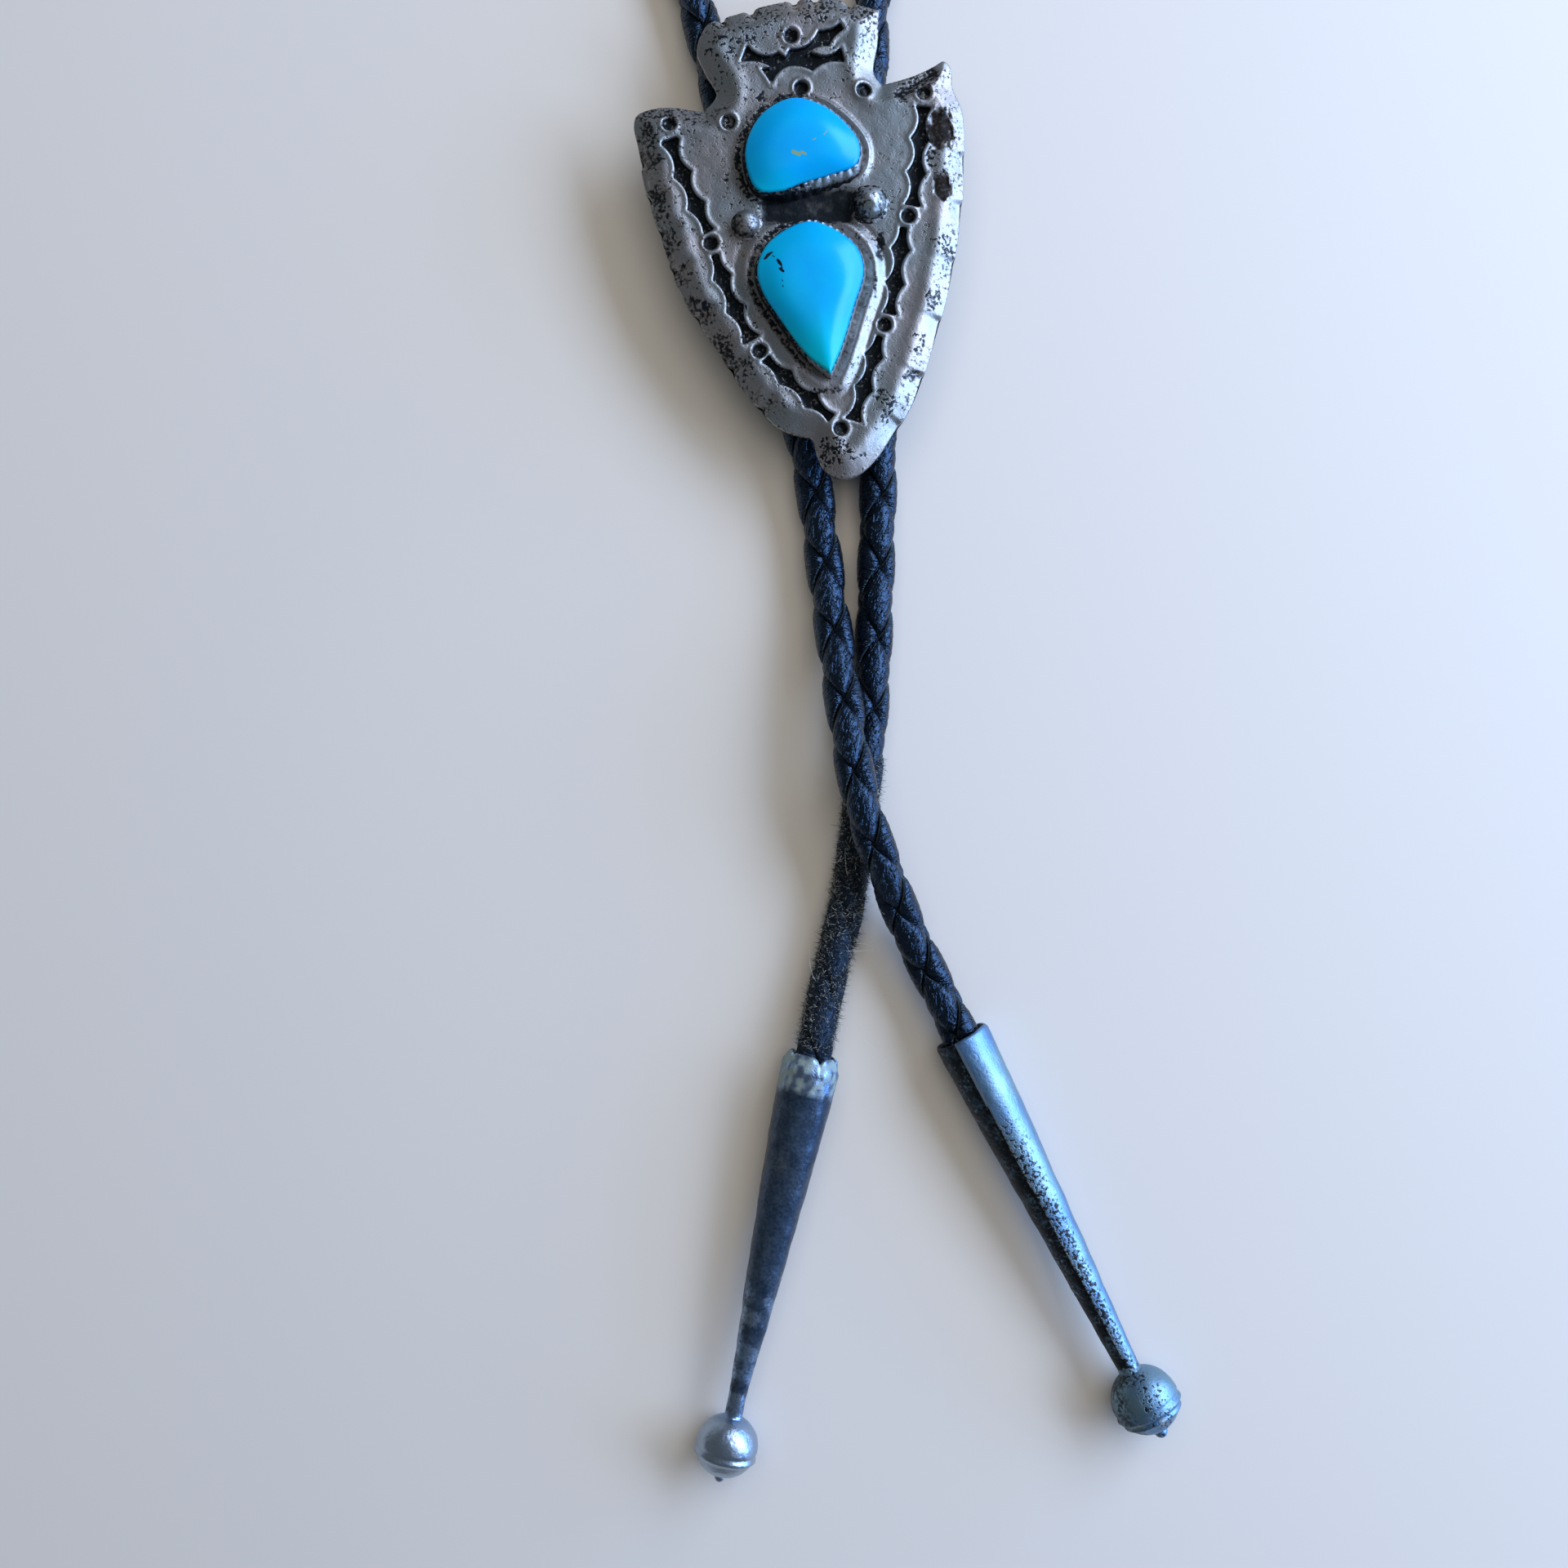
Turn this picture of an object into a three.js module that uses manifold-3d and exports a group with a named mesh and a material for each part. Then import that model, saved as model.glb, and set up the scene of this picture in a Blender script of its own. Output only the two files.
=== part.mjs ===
// A bolo tie lying on its back: a silver arrowhead slide with two blue stones, worn on one round
// braided cord. The cord makes a neck loop, runs through a clip behind the slide, and ends in two
// silver cone tips.
//
// Millimetres, +Z up. The origin is on the flat underside of the clip, below the slide's middle.
// +Y points from the slide to the neck loop, and everything lies on the plane z = 0.
import * as THREE from "three";
import { mergeVertices } from "three/addons/utils/BufferGeometryUtils.js";
import Module from "manifold-3d";

const wasm = await Module();
wasm.setup();

// ---------------------------------------------------------------- driving dimensions

const GAP = 0.3; // clearance between separate pieces

const CORD = { radius: 2.5, sides: 12, neckSteps: 52, endSteps: 14 };
const LYING = CORD.radius + 0.02; // height of the cord's middle where it lies on the table

const CLIP = {
  cordHeight: 3.6, // middle of the cord above the table, inside the clip
  halfLength: 7,
  tunnelRadius: 2.9,
  tubeRadius: 3.6,
  floor: 0.9,
};

const PLATE = {
  back: 7.5,
  field: 9.8, // upper face of the plate
  edge: 0.7, // bevel all round the outline
  channelDepth: 1.0,
  dotRadius: 1.0,
  dotDepth: 0.6,
  cutLength: 3.4, // chisel cuts across the rim
  cutDepth: 1.0,
  cutSlope: 0.35,
};

const BEZEL = { wall: 0.45, height: 1.9, floor: 0.2 };

const STONE = { girdle: 1.7, crown: 3.6 }; // heights above the plate's field

const SCALLOP = { pitch: 4.3, widest: 1.25, narrowest: 0.5, steps: 4 };

const TIP_SIDES = 24;

// ---------------------------------------------------------------- colours

const silver = { color: 0x8d8f90, roughness: 0.42, metalness: 0.9 };
const turquoise = { color: 0x12a5e0, roughness: 0.18, metalness: 0 };
const leather = { color: 0x15191f, roughness: 0.5, metalness: 0 };
const wornLeather = { color: 0x2b2d2c, roughness: 0.9, metalness: 0 };
const plainSteel = { color: 0x9a9a96, roughness: 0.4, metalness: 0.9 };

// ---------------------------------------------------------------- solids

// A closed three.js geometry as a manifold solid.
function solid(geometry) {
  const bare = geometry.clone();
  bare.deleteAttribute("normal");
  bare.deleteAttribute("uv");
  const merged = mergeVertices(bare, 1e-4);
  return new wasm.Manifold(
    new wasm.Mesh({
      numProp: 3,
      vertProperties: new Float32Array(merged.attributes.position.array),
      triVerts: new Uint32Array(merged.index.array),
    }),
  );
}

// A named three.js mesh from a manifold solid.
function piece(name, body, look) {
  const { vertProperties, triVerts, numProp } = body.getMesh();
  const places = [];
  for (let i = 0; i < vertProperties.length; i += numProp) {
    places.push(vertProperties[i], vertProperties[i + 1], vertProperties[i + 2]);
  }
  const geometry = new THREE.BufferGeometry();
  geometry.setAttribute("position", new THREE.Float32BufferAttribute(places, 3));
  geometry.setIndex([...triVerts]);
  geometry.computeVertexNormals();
  const mesh = new THREE.Mesh(geometry, new THREE.MeshStandardMaterial(look));
  mesh.name = name;
  return mesh;
}

// A flat outline raised from one height to another.
function slab(outline, low, high, bevel = 0) {
  const geometry = new THREE.ExtrudeGeometry(new THREE.Shape(outline), {
    depth: high - low - 2 * bevel,
    bevelEnabled: bevel > 0,
    bevelThickness: bevel,
    bevelSize: bevel,
    bevelOffset: -bevel,
    bevelSegments: 1,
    steps: 1,
  });
  geometry.translate(0, 0, low + bevel);
  return solid(geometry);
}

// A round bar or cord of the given radius along a list of points. The radius is the one to the
// middle of a side, so a flat of the section faces straight down.
function bar(points, radius, sides, steps) {
  const corner = radius / Math.cos(Math.PI / sides);
  const section = new THREE.Shape();
  for (let i = 0; i < sides; i++) {
    const angle = ((i + 0.5) * 2 * Math.PI) / sides;
    const x = corner * Math.cos(angle);
    const y = corner * Math.sin(angle);
    if (i === 0) {
      section.moveTo(x, y);
    } else {
      section.lineTo(x, y);
    }
  }
  section.closePath();
  const path = new THREE.CatmullRomCurve3(points.map((p) => new THREE.Vector3(...p)));
  path.arcLengthDivisions = 1000;
  return solid(new THREE.ExtrudeGeometry(section, { extrudePath: path, steps }));
}

// A smooth closed line through the rows of a table. A row marked sharp is a corner.
function closedLine(rows, pointsPerRow) {
  const first = rows.findIndex((row) => row.sharp);
  const start = Math.max(first, 0);
  const ordered = [...rows.slice(start), ...rows.slice(0, start), rows[start]];
  if (first < 0) {
    const curve = new THREE.CatmullRomCurve3(
      rows.map((row) => new THREE.Vector3(row.x, row.y, 0)),
      true,
      "centripetal",
    );
    return curve
      .getPoints(rows.length * pointsPerRow)
      .slice(0, -1)
      .map((p) => new THREE.Vector2(p.x, p.y));
  }
  const line = [];
  let run = [];
  ordered.forEach((row, i) => {
    run.push(new THREE.Vector3(row.x, row.y, 0));
    if (row.sharp && i > 0) {
      const curve = new THREE.CatmullRomCurve3(run, false, "centripetal");
      const points = curve.getPoints((run.length - 1) * pointsPerRow).slice(0, -1);
      line.push(...points.map((p) => new THREE.Vector2(p.x, p.y)));
      run = [run[run.length - 1]];
    }
  });
  return line;
}

// An outline moved outwards by a distance, point by point along its normals.
function grown(outline, distance) {
  const turn = THREE.ShapeUtils.isClockWise(outline) ? -1 : 1;
  const count = outline.length;
  return outline.map((p, i) => {
    const before = outline[(i + count - 1) % count];
    const after = outline[(i + 1) % count];
    const along = after.clone().sub(before).normalize();
    return new THREE.Vector2(p.x + turn * along.y * distance, p.y - turn * along.x * distance);
  });
}

// ---------------------------------------------------------------- the slide's outline and pattern

// The arrowhead, clockwise from the left of its stem.
const ARROWHEAD = [
  { at: "stem, upper left", x: -12.6, y: 25.1 },
  { at: "stem, shoulder", x: -11.4, y: 26.9 },
  { at: "stem, first lobe", x: -8.0, y: 28.0 },
  { at: "stem, second lobe", x: -3.3, y: 29.3 },
  { at: "stem, third lobe", x: 3.0, y: 30.1 },
  { at: "stem, top right corner", x: 9.9, y: 28.5, sharp: true },
  { at: "stem, right side", x: 9.7, y: 24.5 },
  { at: "stem, right waist", x: 9.2, y: 20.6 },
  { at: "right notch", x: 10.2, y: 19.1, sharp: true },
  { at: "right barb, inner edge", x: 14.0, y: 20.2 },
  { at: "right barb, tip", x: 18.1, y: 22.1, sharp: true },
  { at: "right barb, outer edge", x: 19.0, y: 18.6 },
  { at: "right shoulder", x: 20.4, y: 14.0 },
  { at: "right flank, widest", x: 20.6, y: 7.5 },
  { at: "right flank, upper", x: 20.0, y: 1.0 },
  { at: "right flank, middle", x: 18.8, y: -6.0 },
  { at: "right flank, lower", x: 16.9, y: -13.0 },
  { at: "right flank, low", x: 14.3, y: -20.5 },
  { at: "right of the nose", x: 10.9, y: -26.0 },
  { at: "nose, right", x: 7.6, y: -29.6 },
  { at: "nose, end", x: 5.3, y: -30.3 },
  { at: "nose, left", x: 2.9, y: -29.0 },
  { at: "step beside the nose", x: 1.5, y: -25.2, sharp: true },
  { at: "left flank, low", x: -2.5, y: -24.0 },
  { at: "left flank, lower", x: -6.8, y: -19.6 },
  { at: "left flank, middle", x: -10.6, y: -13.9 },
  { at: "left flank, upper", x: -15.1, y: -6.9 },
  { at: "left flank, high", x: -17.7, y: 0.5 },
  { at: "left flank, widest", x: -19.7, y: 6.8 },
  { at: "left shoulder", x: -20.3, y: 11.0 },
  { at: "left barb, tip", x: -20.8, y: 15.2, sharp: true },
  { at: "left barb, inner edge", x: -17.0, y: 16.4 },
  { at: "left notch", x: -12.1, y: 15.7, sharp: true },
  { at: "stem, left waist", x: -10.5, y: 17.9 },
  { at: "stem, left side", x: -11.9, y: 20.6 },
  { at: "stem, left bulge", x: -13.0, y: 23.2 },
];

// Chisel cuts across the rim: where each crosses the outline, and which way it points inwards.
const RIM_CUTS = [
  { side: "right", x: 20.6, y: 8.6, degrees: 180 },
  { side: "right", x: 20.3, y: 4.7, degrees: 180 },
  { side: "right", x: 19.3, y: -3.0, degrees: 172 },
  { side: "right", x: 17.4, y: -10.4, degrees: 165 },
  { side: "right", x: 15.1, y: -17.4, degrees: 158 },
  { side: "right", x: 12.5, y: -23.6, degrees: 145 },
  { side: "left", x: -20.3, y: 9.3, degrees: 0 },
  { side: "left", x: -19.2, y: 4.6, degrees: 10 },
  { side: "left", x: -17.5, y: 0.4, degrees: 18 },
  { side: "left", x: -15.9, y: -4.4, degrees: 25 },
  { side: "left", x: -12.9, y: -10.3, degrees: 32 },
  { side: "left", x: -8.7, y: -16.9, degrees: 38 },
  { side: "left", x: -4.9, y: -21.8, degrees: 45 },
  { side: "top", x: -6.9, y: 28.3, degrees: 285 },
  { side: "top", x: -0.8, y: 29.8, degrees: 275 },
  { side: "top", x: 6.4, y: 29.8, degrees: 265 },
];

// Scalloped channels, each from one end to the other of its middle line. Start is where in the
// scallop it begins: 0 at a wide place, 0.5 at a narrow one.
const CHANNELS = [
  { at: "left, upper", from: [-16.4, 12.0], bend: [-14.0, 5.8], to: [-11.4, 0.4], start: 0.9 },
  { at: "left, middle", from: [-10.7, -2.4], bend: [-8.8, -7.8], to: [-6.1, -13.2], start: 0.3 },
  { at: "left, lower", from: [-4.4, -15.4], bend: [-0.8, -18.8], to: [3.9, -22.9], start: 0.2 },
  { at: "right, upper", from: [15.4, 16.1], bend: [14.7, 9.6], to: [14.0, 3.6], start: 0.05 },
  { at: "right, middle", from: [12.9, 1.0], bend: [12.1, -4.2], to: [11.1, -9.9], start: 0.35 },
  { at: "right, lower", from: [9.9, -12.6], bend: [8.4, -17.6], to: [6.6, -23.2], start: 0.4 },
  { at: "stem, across", from: [-7.1, 22.7], bend: [-1.2, 21.6], to: [5.3, 22.5], start: 0.0 },
  { at: "stem, slanting", from: [-4.3, 19.9], bend: [-0.2, 22.6], to: [5.2, 26.1], start: 0.0 },
];

// Round punch marks.
const DOTS = [
  { at: "stem, top", x: -1.2, y: 24.9 },
  { at: "above the upper stone", x: 0.1, y: 18.4 },
  { at: "stem, right foot", x: 7.9, y: 18.1 },
  { at: "stem, left foot", x: -9.0, y: 14.1 },
  { at: "right barb", x: 15.4, y: 17.8 },
  { at: "left barb", x: -16.4, y: 13.9 },
  { at: "left flank", x: -11.2, y: -1.0 },
  { at: "right flank, upper", x: 13.5, y: 2.4 },
  { at: "right flank, lower", x: 10.5, y: -11.2 },
  { at: "left flank, lower", x: -5.1, y: -14.5 },
  { at: "nose", x: 5.0, y: -24.2 },
];

// The stones' outlines, clockwise from the left.
const UPPER_STONE = [
  { at: "left", x: -6.9, y: 9.2 },
  { at: "left shoulder", x: -6.1, y: 12.6 },
  { at: "upper left", x: -4.1, y: 15.1 },
  { at: "top", x: -0.9, y: 16.5 },
  { at: "upper right", x: 2.6, y: 15.6 },
  { at: "right shoulder", x: 5.6, y: 13.3 },
  { at: "right", x: 7.3, y: 10.7 },
  { at: "right corner", x: 6.9, y: 8.3 },
  { at: "lower right", x: 3.2, y: 6.8 },
  { at: "hollow below", x: 0.2, y: 5.9 },
  { at: "bottom", x: -2.6, y: 4.9 },
  { at: "lower left", x: -5.4, y: 5.1 },
];

const LOWER_STONE = [
  { at: "left", x: -5.4, y: -4.9 },
  { at: "left shoulder", x: -4.6, y: -2.3 },
  { at: "upper left", x: -2.3, y: -0.1 },
  { at: "top", x: 1.2, y: 1.2 },
  { at: "upper right", x: 4.4, y: 0.1 },
  { at: "right shoulder", x: 7.0, y: -2.1 },
  { at: "right", x: 7.8, y: -5.0 },
  { at: "right, lower", x: 6.6, y: -9.4 },
  { at: "right of the point", x: 5.0, y: -14.6 },
  { at: "point", x: 3.7, y: -17.7, sharp: true },
  { at: "left of the point", x: 0.8, y: -15.4 },
  { at: "left, lower", x: -2.6, y: -10.9 },
  { at: "left, low", x: -4.8, y: -7.4 },
];

// Solid silver drops soldered beside the stones.
const DROPS = [
  { at: "left", x: -6.7, y: 1.2, radius: 1.6, middle: 0.5 },
  { at: "right", x: 8.6, y: 3.8, radius: 2.0, middle: 0.5 },
];

// A band along its middle line, whose two edges are rows of lobes that meet in cusps.
function channelOutline(row) {
  const middle = new THREE.QuadraticBezierCurve3(
    new THREE.Vector3(...row.from, 0),
    new THREE.Vector3(
      2 * row.bend[0] - (row.from[0] + row.to[0]) / 2,
      2 * row.bend[1] - (row.from[1] + row.to[1]) / 2,
      0,
    ),
    new THREE.Vector3(...row.to, 0),
  );
  const length = middle.getLength();
  const count = Math.ceil((length / SCALLOP.pitch) * SCALLOP.steps);
  const edges = { left: [], right: [] };
  for (let i = 0; i <= count; i++) {
    const p = middle.getPointAt(i / count);
    const along = middle.getTangentAt(i / count);
    const turns = row.start + (length * i) / count / SCALLOP.pitch;
    const pinch = Math.abs(Math.sin(Math.PI * turns));
    const half = SCALLOP.widest - (SCALLOP.widest - SCALLOP.narrowest) * pinch;
    edges.left.push(new THREE.Vector2(p.x - along.y * half, p.y + along.x * half));
    edges.right.push(new THREE.Vector2(p.x + along.y * half, p.y - along.x * half));
  }
  return [...edges.right, ...edges.left.reverse()];
}

// ---------------------------------------------------------------- slide

const upperOutline = closedLine(UPPER_STONE, 3);
const lowerOutline = closedLine(LOWER_STONE, 3);

function slidePlate() {
  let plate = slab(closedLine(ARROWHEAD, 3), PLATE.back, PLATE.field, PLATE.edge);
  for (const row of CHANNELS) {
    const floor = PLATE.field - PLATE.channelDepth;
    plate = plate.subtract(slab(channelOutline(row), floor, PLATE.field + 1));
  }
  for (const dot of DOTS) {
    const pit = new THREE.CylinderGeometry(PLATE.dotRadius, PLATE.dotRadius * 0.7, 1, 12);
    pit.rotateX(Math.PI / 2);
    pit.translate(dot.x, dot.y, PLATE.field - PLATE.dotDepth + 0.5);
    plate = plate.subtract(solid(pit));
  }
  for (const cut of RIM_CUTS) {
    const wedge = new THREE.CylinderGeometry(PLATE.cutDepth, 0.05, PLATE.cutLength, 4);
    wedge.rotateZ(Math.PI / 2);
    wedge.rotateY(-PLATE.cutSlope);
    wedge.rotateZ(THREE.MathUtils.degToRad(cut.degrees + 180));
    wedge.translate(cut.x, cut.y, PLATE.field + 0.15);
    plate = plate.subtract(solid(wedge));
  }
  for (const outline of [upperOutline, lowerOutline]) {
    const rim = grown(outline, GAP + BEZEL.wall);
    const pocket = grown(outline, GAP);
    const cup = slab(rim, PLATE.field - 0.5, PLATE.field + BEZEL.height);
    const seat = slab(pocket, PLATE.field + BEZEL.floor, PLATE.field + BEZEL.height + 1);
    plate = plate.add(cup).subtract(seat);
  }
  for (const drop of DROPS) {
    const ball = new THREE.SphereGeometry(drop.radius, 16, 10);
    ball.translate(drop.x, drop.y, PLATE.field + drop.middle);
    plate = plate.add(solid(ball));
  }
  return plate;
}

// A stone cut straight up to its girdle and domed above it.
function stone(outline) {
  const middle = outline.reduce((sum, p) => sum.add(p), new THREE.Vector2());
  middle.divideScalar(outline.length);
  const base = PLATE.field + BEZEL.floor + GAP;
  const girdle = PLATE.field + STONE.girdle;
  const crown = PLATE.field + STONE.crown;
  const rings = [
    { size: 1, z: base },
    { size: 1, z: girdle },
    { size: 0.93, z: girdle + 0.45 * (crown - girdle) },
    { size: 0.8, z: girdle + 0.75 * (crown - girdle) },
    { size: 0.55, z: girdle + 0.93 * (crown - girdle) },
  ];
  const count = outline.length;
  const places = [];
  for (const ring of rings) {
    for (const p of outline) {
      places.push(middle.x + (p.x - middle.x) * ring.size);
      places.push(middle.y + (p.y - middle.y) * ring.size);
      places.push(ring.z);
    }
  }
  const below = rings.length * count;
  const above = below + 1;
  places.push(middle.x, middle.y, base, middle.x, middle.y, crown);
  const faces = [];
  for (let i = 0; i < count; i++) {
    const j = (i + 1) % count;
    for (let r = 0; r + 1 < rings.length; r++) {
      const low = r * count;
      const high = low + count;
      faces.push(low + i, high + i, low + j, low + j, high + i, high + j);
    }
    const last = (rings.length - 1) * count;
    faces.push(below, i, j);
    faces.push(above, last + j, last + i);
  }
  const geometry = new THREE.BufferGeometry();
  geometry.setAttribute("position", new THREE.Float32BufferAttribute(places, 3));
  geometry.setIndex(faces);
  return solid(geometry);
}

// ---------------------------------------------------------------- cord and clip

// The cord's middle line. Inside the clip it is straight, and the three stretches meet there.
const LEFT_TUNNEL = { top: [-7.0, CLIP.halfLength], bottom: [-3.6, -CLIP.halfLength] };
const RIGHT_TUNNEL = { top: [9.3, CLIP.halfLength], bottom: [9.6, -CLIP.halfLength] };

// A point inside a tunnel, so many millimetres above (+) or below (-) its middle.
function inTunnel(tunnel, above) {
  const t = 0.5 - above / (2 * CLIP.halfLength);
  return [
    THREE.MathUtils.lerp(tunnel.top[0], tunnel.bottom[0], t),
    THREE.MathUtils.lerp(tunnel.top[1], tunnel.bottom[1], t),
    CLIP.cordHeight,
  ];
}

const NECK_ROUTE = [
  inTunnel(LEFT_TUNNEL, GAP / 2),
  inTunnel(LEFT_TUNNEL, CLIP.halfLength),
  [-9.9, 18.2, 3.0],
  [-13.6, 32.6, 2.65],
  [-19.4, 51, LYING],
  [-30, 73, LYING],
  [-46, 95, LYING],
  [-64, 117, LYING],
  [-80, 141, LYING],
  [-90, 168, LYING],
  [-93, 197, LYING],
  [-87, 225, LYING],
  [-72, 250, LYING],
  [-50, 268, LYING],
  [-23, 279, LYING],
  [6, 280, LYING],
  [34, 271, LYING],
  [58, 254, LYING],
  [75, 230, LYING],
  [83, 202, LYING],
  [82, 173, LYING],
  [73, 145, LYING],
  [57, 119, LYING],
  [39, 95, LYING],
  [23, 72, LYING],
  [13, 51, LYING],
  [9.4, 32.6, 2.65],
  [9.1, 18.2, 3.0],
  inTunnel(RIGHT_TUNNEL, CLIP.halfLength),
  inTunnel(RIGHT_TUNNEL, GAP / 2),
];

const RIGHT_TIP = { mouth: [20.6, -100.8, 3.65], ball: [44.1, -147.3, 4.34] };
const LEFT_TIP = { mouth: [1.7, -103.1, 3.85], ball: [-9.4, -153.3, 3.99] };

// A point on a tip's own line, so many millimetres beyond its mouth.
function onTip(tip, beyond) {
  const mouth = new THREE.Vector3(...tip.mouth);
  const line = new THREE.Vector3(...tip.ball).sub(mouth).normalize();
  return mouth.addScaledVector(line, beyond).toArray();
}

// This end lies on the other where the two cross.
const RIGHT_END_ROUTE = [
  inTunnel(LEFT_TUNNEL, -GAP / 2),
  inTunnel(LEFT_TUNNEL, -CLIP.halfLength),
  [-1.2, -17.2, 3.3],
  [1.5, -28.8, 2.8],
  [2.7, -37.0, 2.8],
  [3.7, -44.9, 3.5],
  [4.4, -50.0, 4.6],
  [5.0, -54.7, 5.7],
  [5.7, -59.5, 6.7],
  [6.4, -64.3, 7.5],
  [7.4, -69.4, 7.9],
  [8.7, -74.0, 7.8],
  [10.4, -78.6, 6.9],
  [12.2, -83.2, 5.4],
  [14.3, -88.2, 4.1],
  [16.9, -93.4, 3.5],
  [19.1, -97.8, 3.6],
  onTip(RIGHT_TIP, 0),
  onTip(RIGHT_TIP, 5.6),
];

const LEFT_END_ROUTE = [
  inTunnel(RIGHT_TUNNEL, -GAP / 2),
  inTunnel(RIGHT_TUNNEL, -CLIP.halfLength),
  [9.9, -17.2, 3.1],
  [10.1, -28.7, 2.65],
  [9.9, -37.0, LYING],
  [9.7, -44.8, LYING],
  [9.3, -54.5, LYING],
  [8.6, -64.2, LYING],
  [7.7, -72.0, LYING],
  [6.9, -78.4, LYING],
  [5.9, -84.6, LYING],
  [4.4, -90.6, 2.6],
  [3.1, -96.2, 3.0],
  [2.3, -100.4, 3.6],
  onTip(LEFT_TIP, 0),
  onTip(LEFT_TIP, 5.6),
];

function backClip() {
  const tunnels = [LEFT_TUNNEL, RIGHT_TUNNEL];
  const floor = [
    new THREE.Vector2(...LEFT_TUNNEL.top),
    new THREE.Vector2(...LEFT_TUNNEL.bottom),
    new THREE.Vector2(...RIGHT_TUNNEL.bottom),
    new THREE.Vector2(...RIGHT_TUNNEL.top),
  ];
  let clip = slab(floor, 0, CLIP.floor);
  for (const tunnel of tunnels) {
    const tube = [tunnel.top, tunnel.bottom].map((p) => [...p, CLIP.cordHeight]);
    clip = clip.add(bar(tube, CLIP.tubeRadius, 16, 1));
  }
  for (const tunnel of tunnels) {
    const hole = [inTunnel(tunnel, 9), inTunnel(tunnel, -9)];
    clip = clip.subtract(bar(hole, CLIP.tunnelRadius, 16, 1));
  }
  return clip;
}

// ---------------------------------------------------------------- tips

// Radii along each tip, in millimetres beyond its mouth.
const RIGHT_TIP_FORM = {
  socket: { radius: 2.9, depth: 6.2 },
  cone: [
    { beyond: 0, radius: 3.6 },
    { beyond: 16, radius: 3.0 },
    { beyond: 46, radius: 1.45 },
  ],
  ball: { beyond: 52.1, radius: 4.33 },
  nub: { beyond: 56.6, radius: 0.85 },
};
const LEFT_TIP_FORM = {
  socket: { radius: 2.9, depth: 6.2 },
  cone: [
    { beyond: 0, radius: 3.8 },
    { beyond: 16, radius: 3.1 },
    { beyond: 46, radius: 1.05 },
  ],
  ball: { beyond: 51.4, radius: 3.98 },
  nub: { beyond: 55.5, radius: 0.7 },
};

// A rolled cone, open at its mouth, with a ball and a small nub on its end. It is turned about its
// own line and laid from its mouth to its ball.
function tipSolid(place, form) {
  const profile = [
    new THREE.Vector2(0, form.socket.depth),
    new THREE.Vector2(form.socket.radius, form.socket.depth),
    new THREE.Vector2(form.socket.radius, 0),
    ...form.cone.map((row) => new THREE.Vector2(row.radius, row.beyond)),
  ];
  const neck = form.cone[form.cone.length - 1].radius;
  const start = Math.asin(neck / form.ball.radius);
  const stop = Math.PI - Math.asin((0.8 * form.nub.radius) / form.ball.radius);
  const arcs = 12;
  for (let i = 0; i <= arcs; i++) {
    const angle = THREE.MathUtils.lerp(start, stop, i / arcs);
    const radius = form.ball.radius * Math.sin(angle);
    profile.push(new THREE.Vector2(radius, form.ball.beyond - form.ball.radius * Math.cos(angle)));
  }
  profile.push(new THREE.Vector2(form.nub.radius, form.nub.beyond));
  profile.push(new THREE.Vector2(0.6 * form.nub.radius, form.nub.beyond + 0.7 * form.nub.radius));
  profile.push(new THREE.Vector2(0, form.nub.beyond + form.nub.radius));
  const lathe = new THREE.LatheGeometry(profile, TIP_SIDES);
  const mouth = new THREE.Vector3(...place.mouth);
  const line = new THREE.Vector3(...place.ball).sub(mouth).normalize();
  lathe.applyQuaternion(new THREE.Quaternion().setFromUnitVectors(new THREE.Vector3(0, 1, 0), line));
  lathe.translate(...place.mouth);
  return solid(lathe);
}

// ---------------------------------------------------------------- the assembly

const bolo = new THREE.Group();
bolo.name = "bolo_tie";
bolo.add(piece("slide_plate", slidePlate(), silver));
bolo.add(piece("upper_stone", stone(upperOutline), turquoise));
bolo.add(piece("lower_stone", stone(lowerOutline), turquoise));
bolo.add(piece("back_clip", backClip(), plainSteel));
bolo.add(piece("neck_cord", bar(NECK_ROUTE, CORD.radius, CORD.sides, CORD.neckSteps), leather));
bolo.add(piece("cord_end_right", bar(RIGHT_END_ROUTE, CORD.radius, CORD.sides, CORD.endSteps), leather));
bolo.add(piece("cord_end_left", bar(LEFT_END_ROUTE, CORD.radius, CORD.sides, CORD.endSteps), wornLeather));
bolo.add(piece("tip_right", tipSolid(RIGHT_TIP, RIGHT_TIP_FORM), silver));
bolo.add(piece("tip_left", tipSolid(LEFT_TIP, LEFT_TIP_FORM), silver));

export default bolo;
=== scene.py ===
import math

import bpy
import numpy as np
from mathutils import Matrix, Vector, noise


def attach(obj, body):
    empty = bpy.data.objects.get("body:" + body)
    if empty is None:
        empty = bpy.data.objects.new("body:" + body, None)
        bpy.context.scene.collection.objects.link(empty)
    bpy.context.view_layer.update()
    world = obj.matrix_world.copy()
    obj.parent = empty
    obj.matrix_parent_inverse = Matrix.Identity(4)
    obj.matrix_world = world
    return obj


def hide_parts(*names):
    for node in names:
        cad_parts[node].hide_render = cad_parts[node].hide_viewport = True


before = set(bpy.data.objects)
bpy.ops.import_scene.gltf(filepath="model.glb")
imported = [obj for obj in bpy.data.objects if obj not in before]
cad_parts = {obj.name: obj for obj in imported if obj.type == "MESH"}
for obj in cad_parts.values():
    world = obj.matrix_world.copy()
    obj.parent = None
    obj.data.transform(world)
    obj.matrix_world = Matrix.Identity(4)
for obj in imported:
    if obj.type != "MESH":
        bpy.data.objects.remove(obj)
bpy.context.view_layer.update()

# ---------------------------------------------------------------- the view
# The camera looks straight down on the tie, from above the two free ends, with the neck loop at
# the top and running out of view.

MM = 0.001
VIEW_FROM = (-2.05, -68.6, 240.0)
LENS = 42.31

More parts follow.
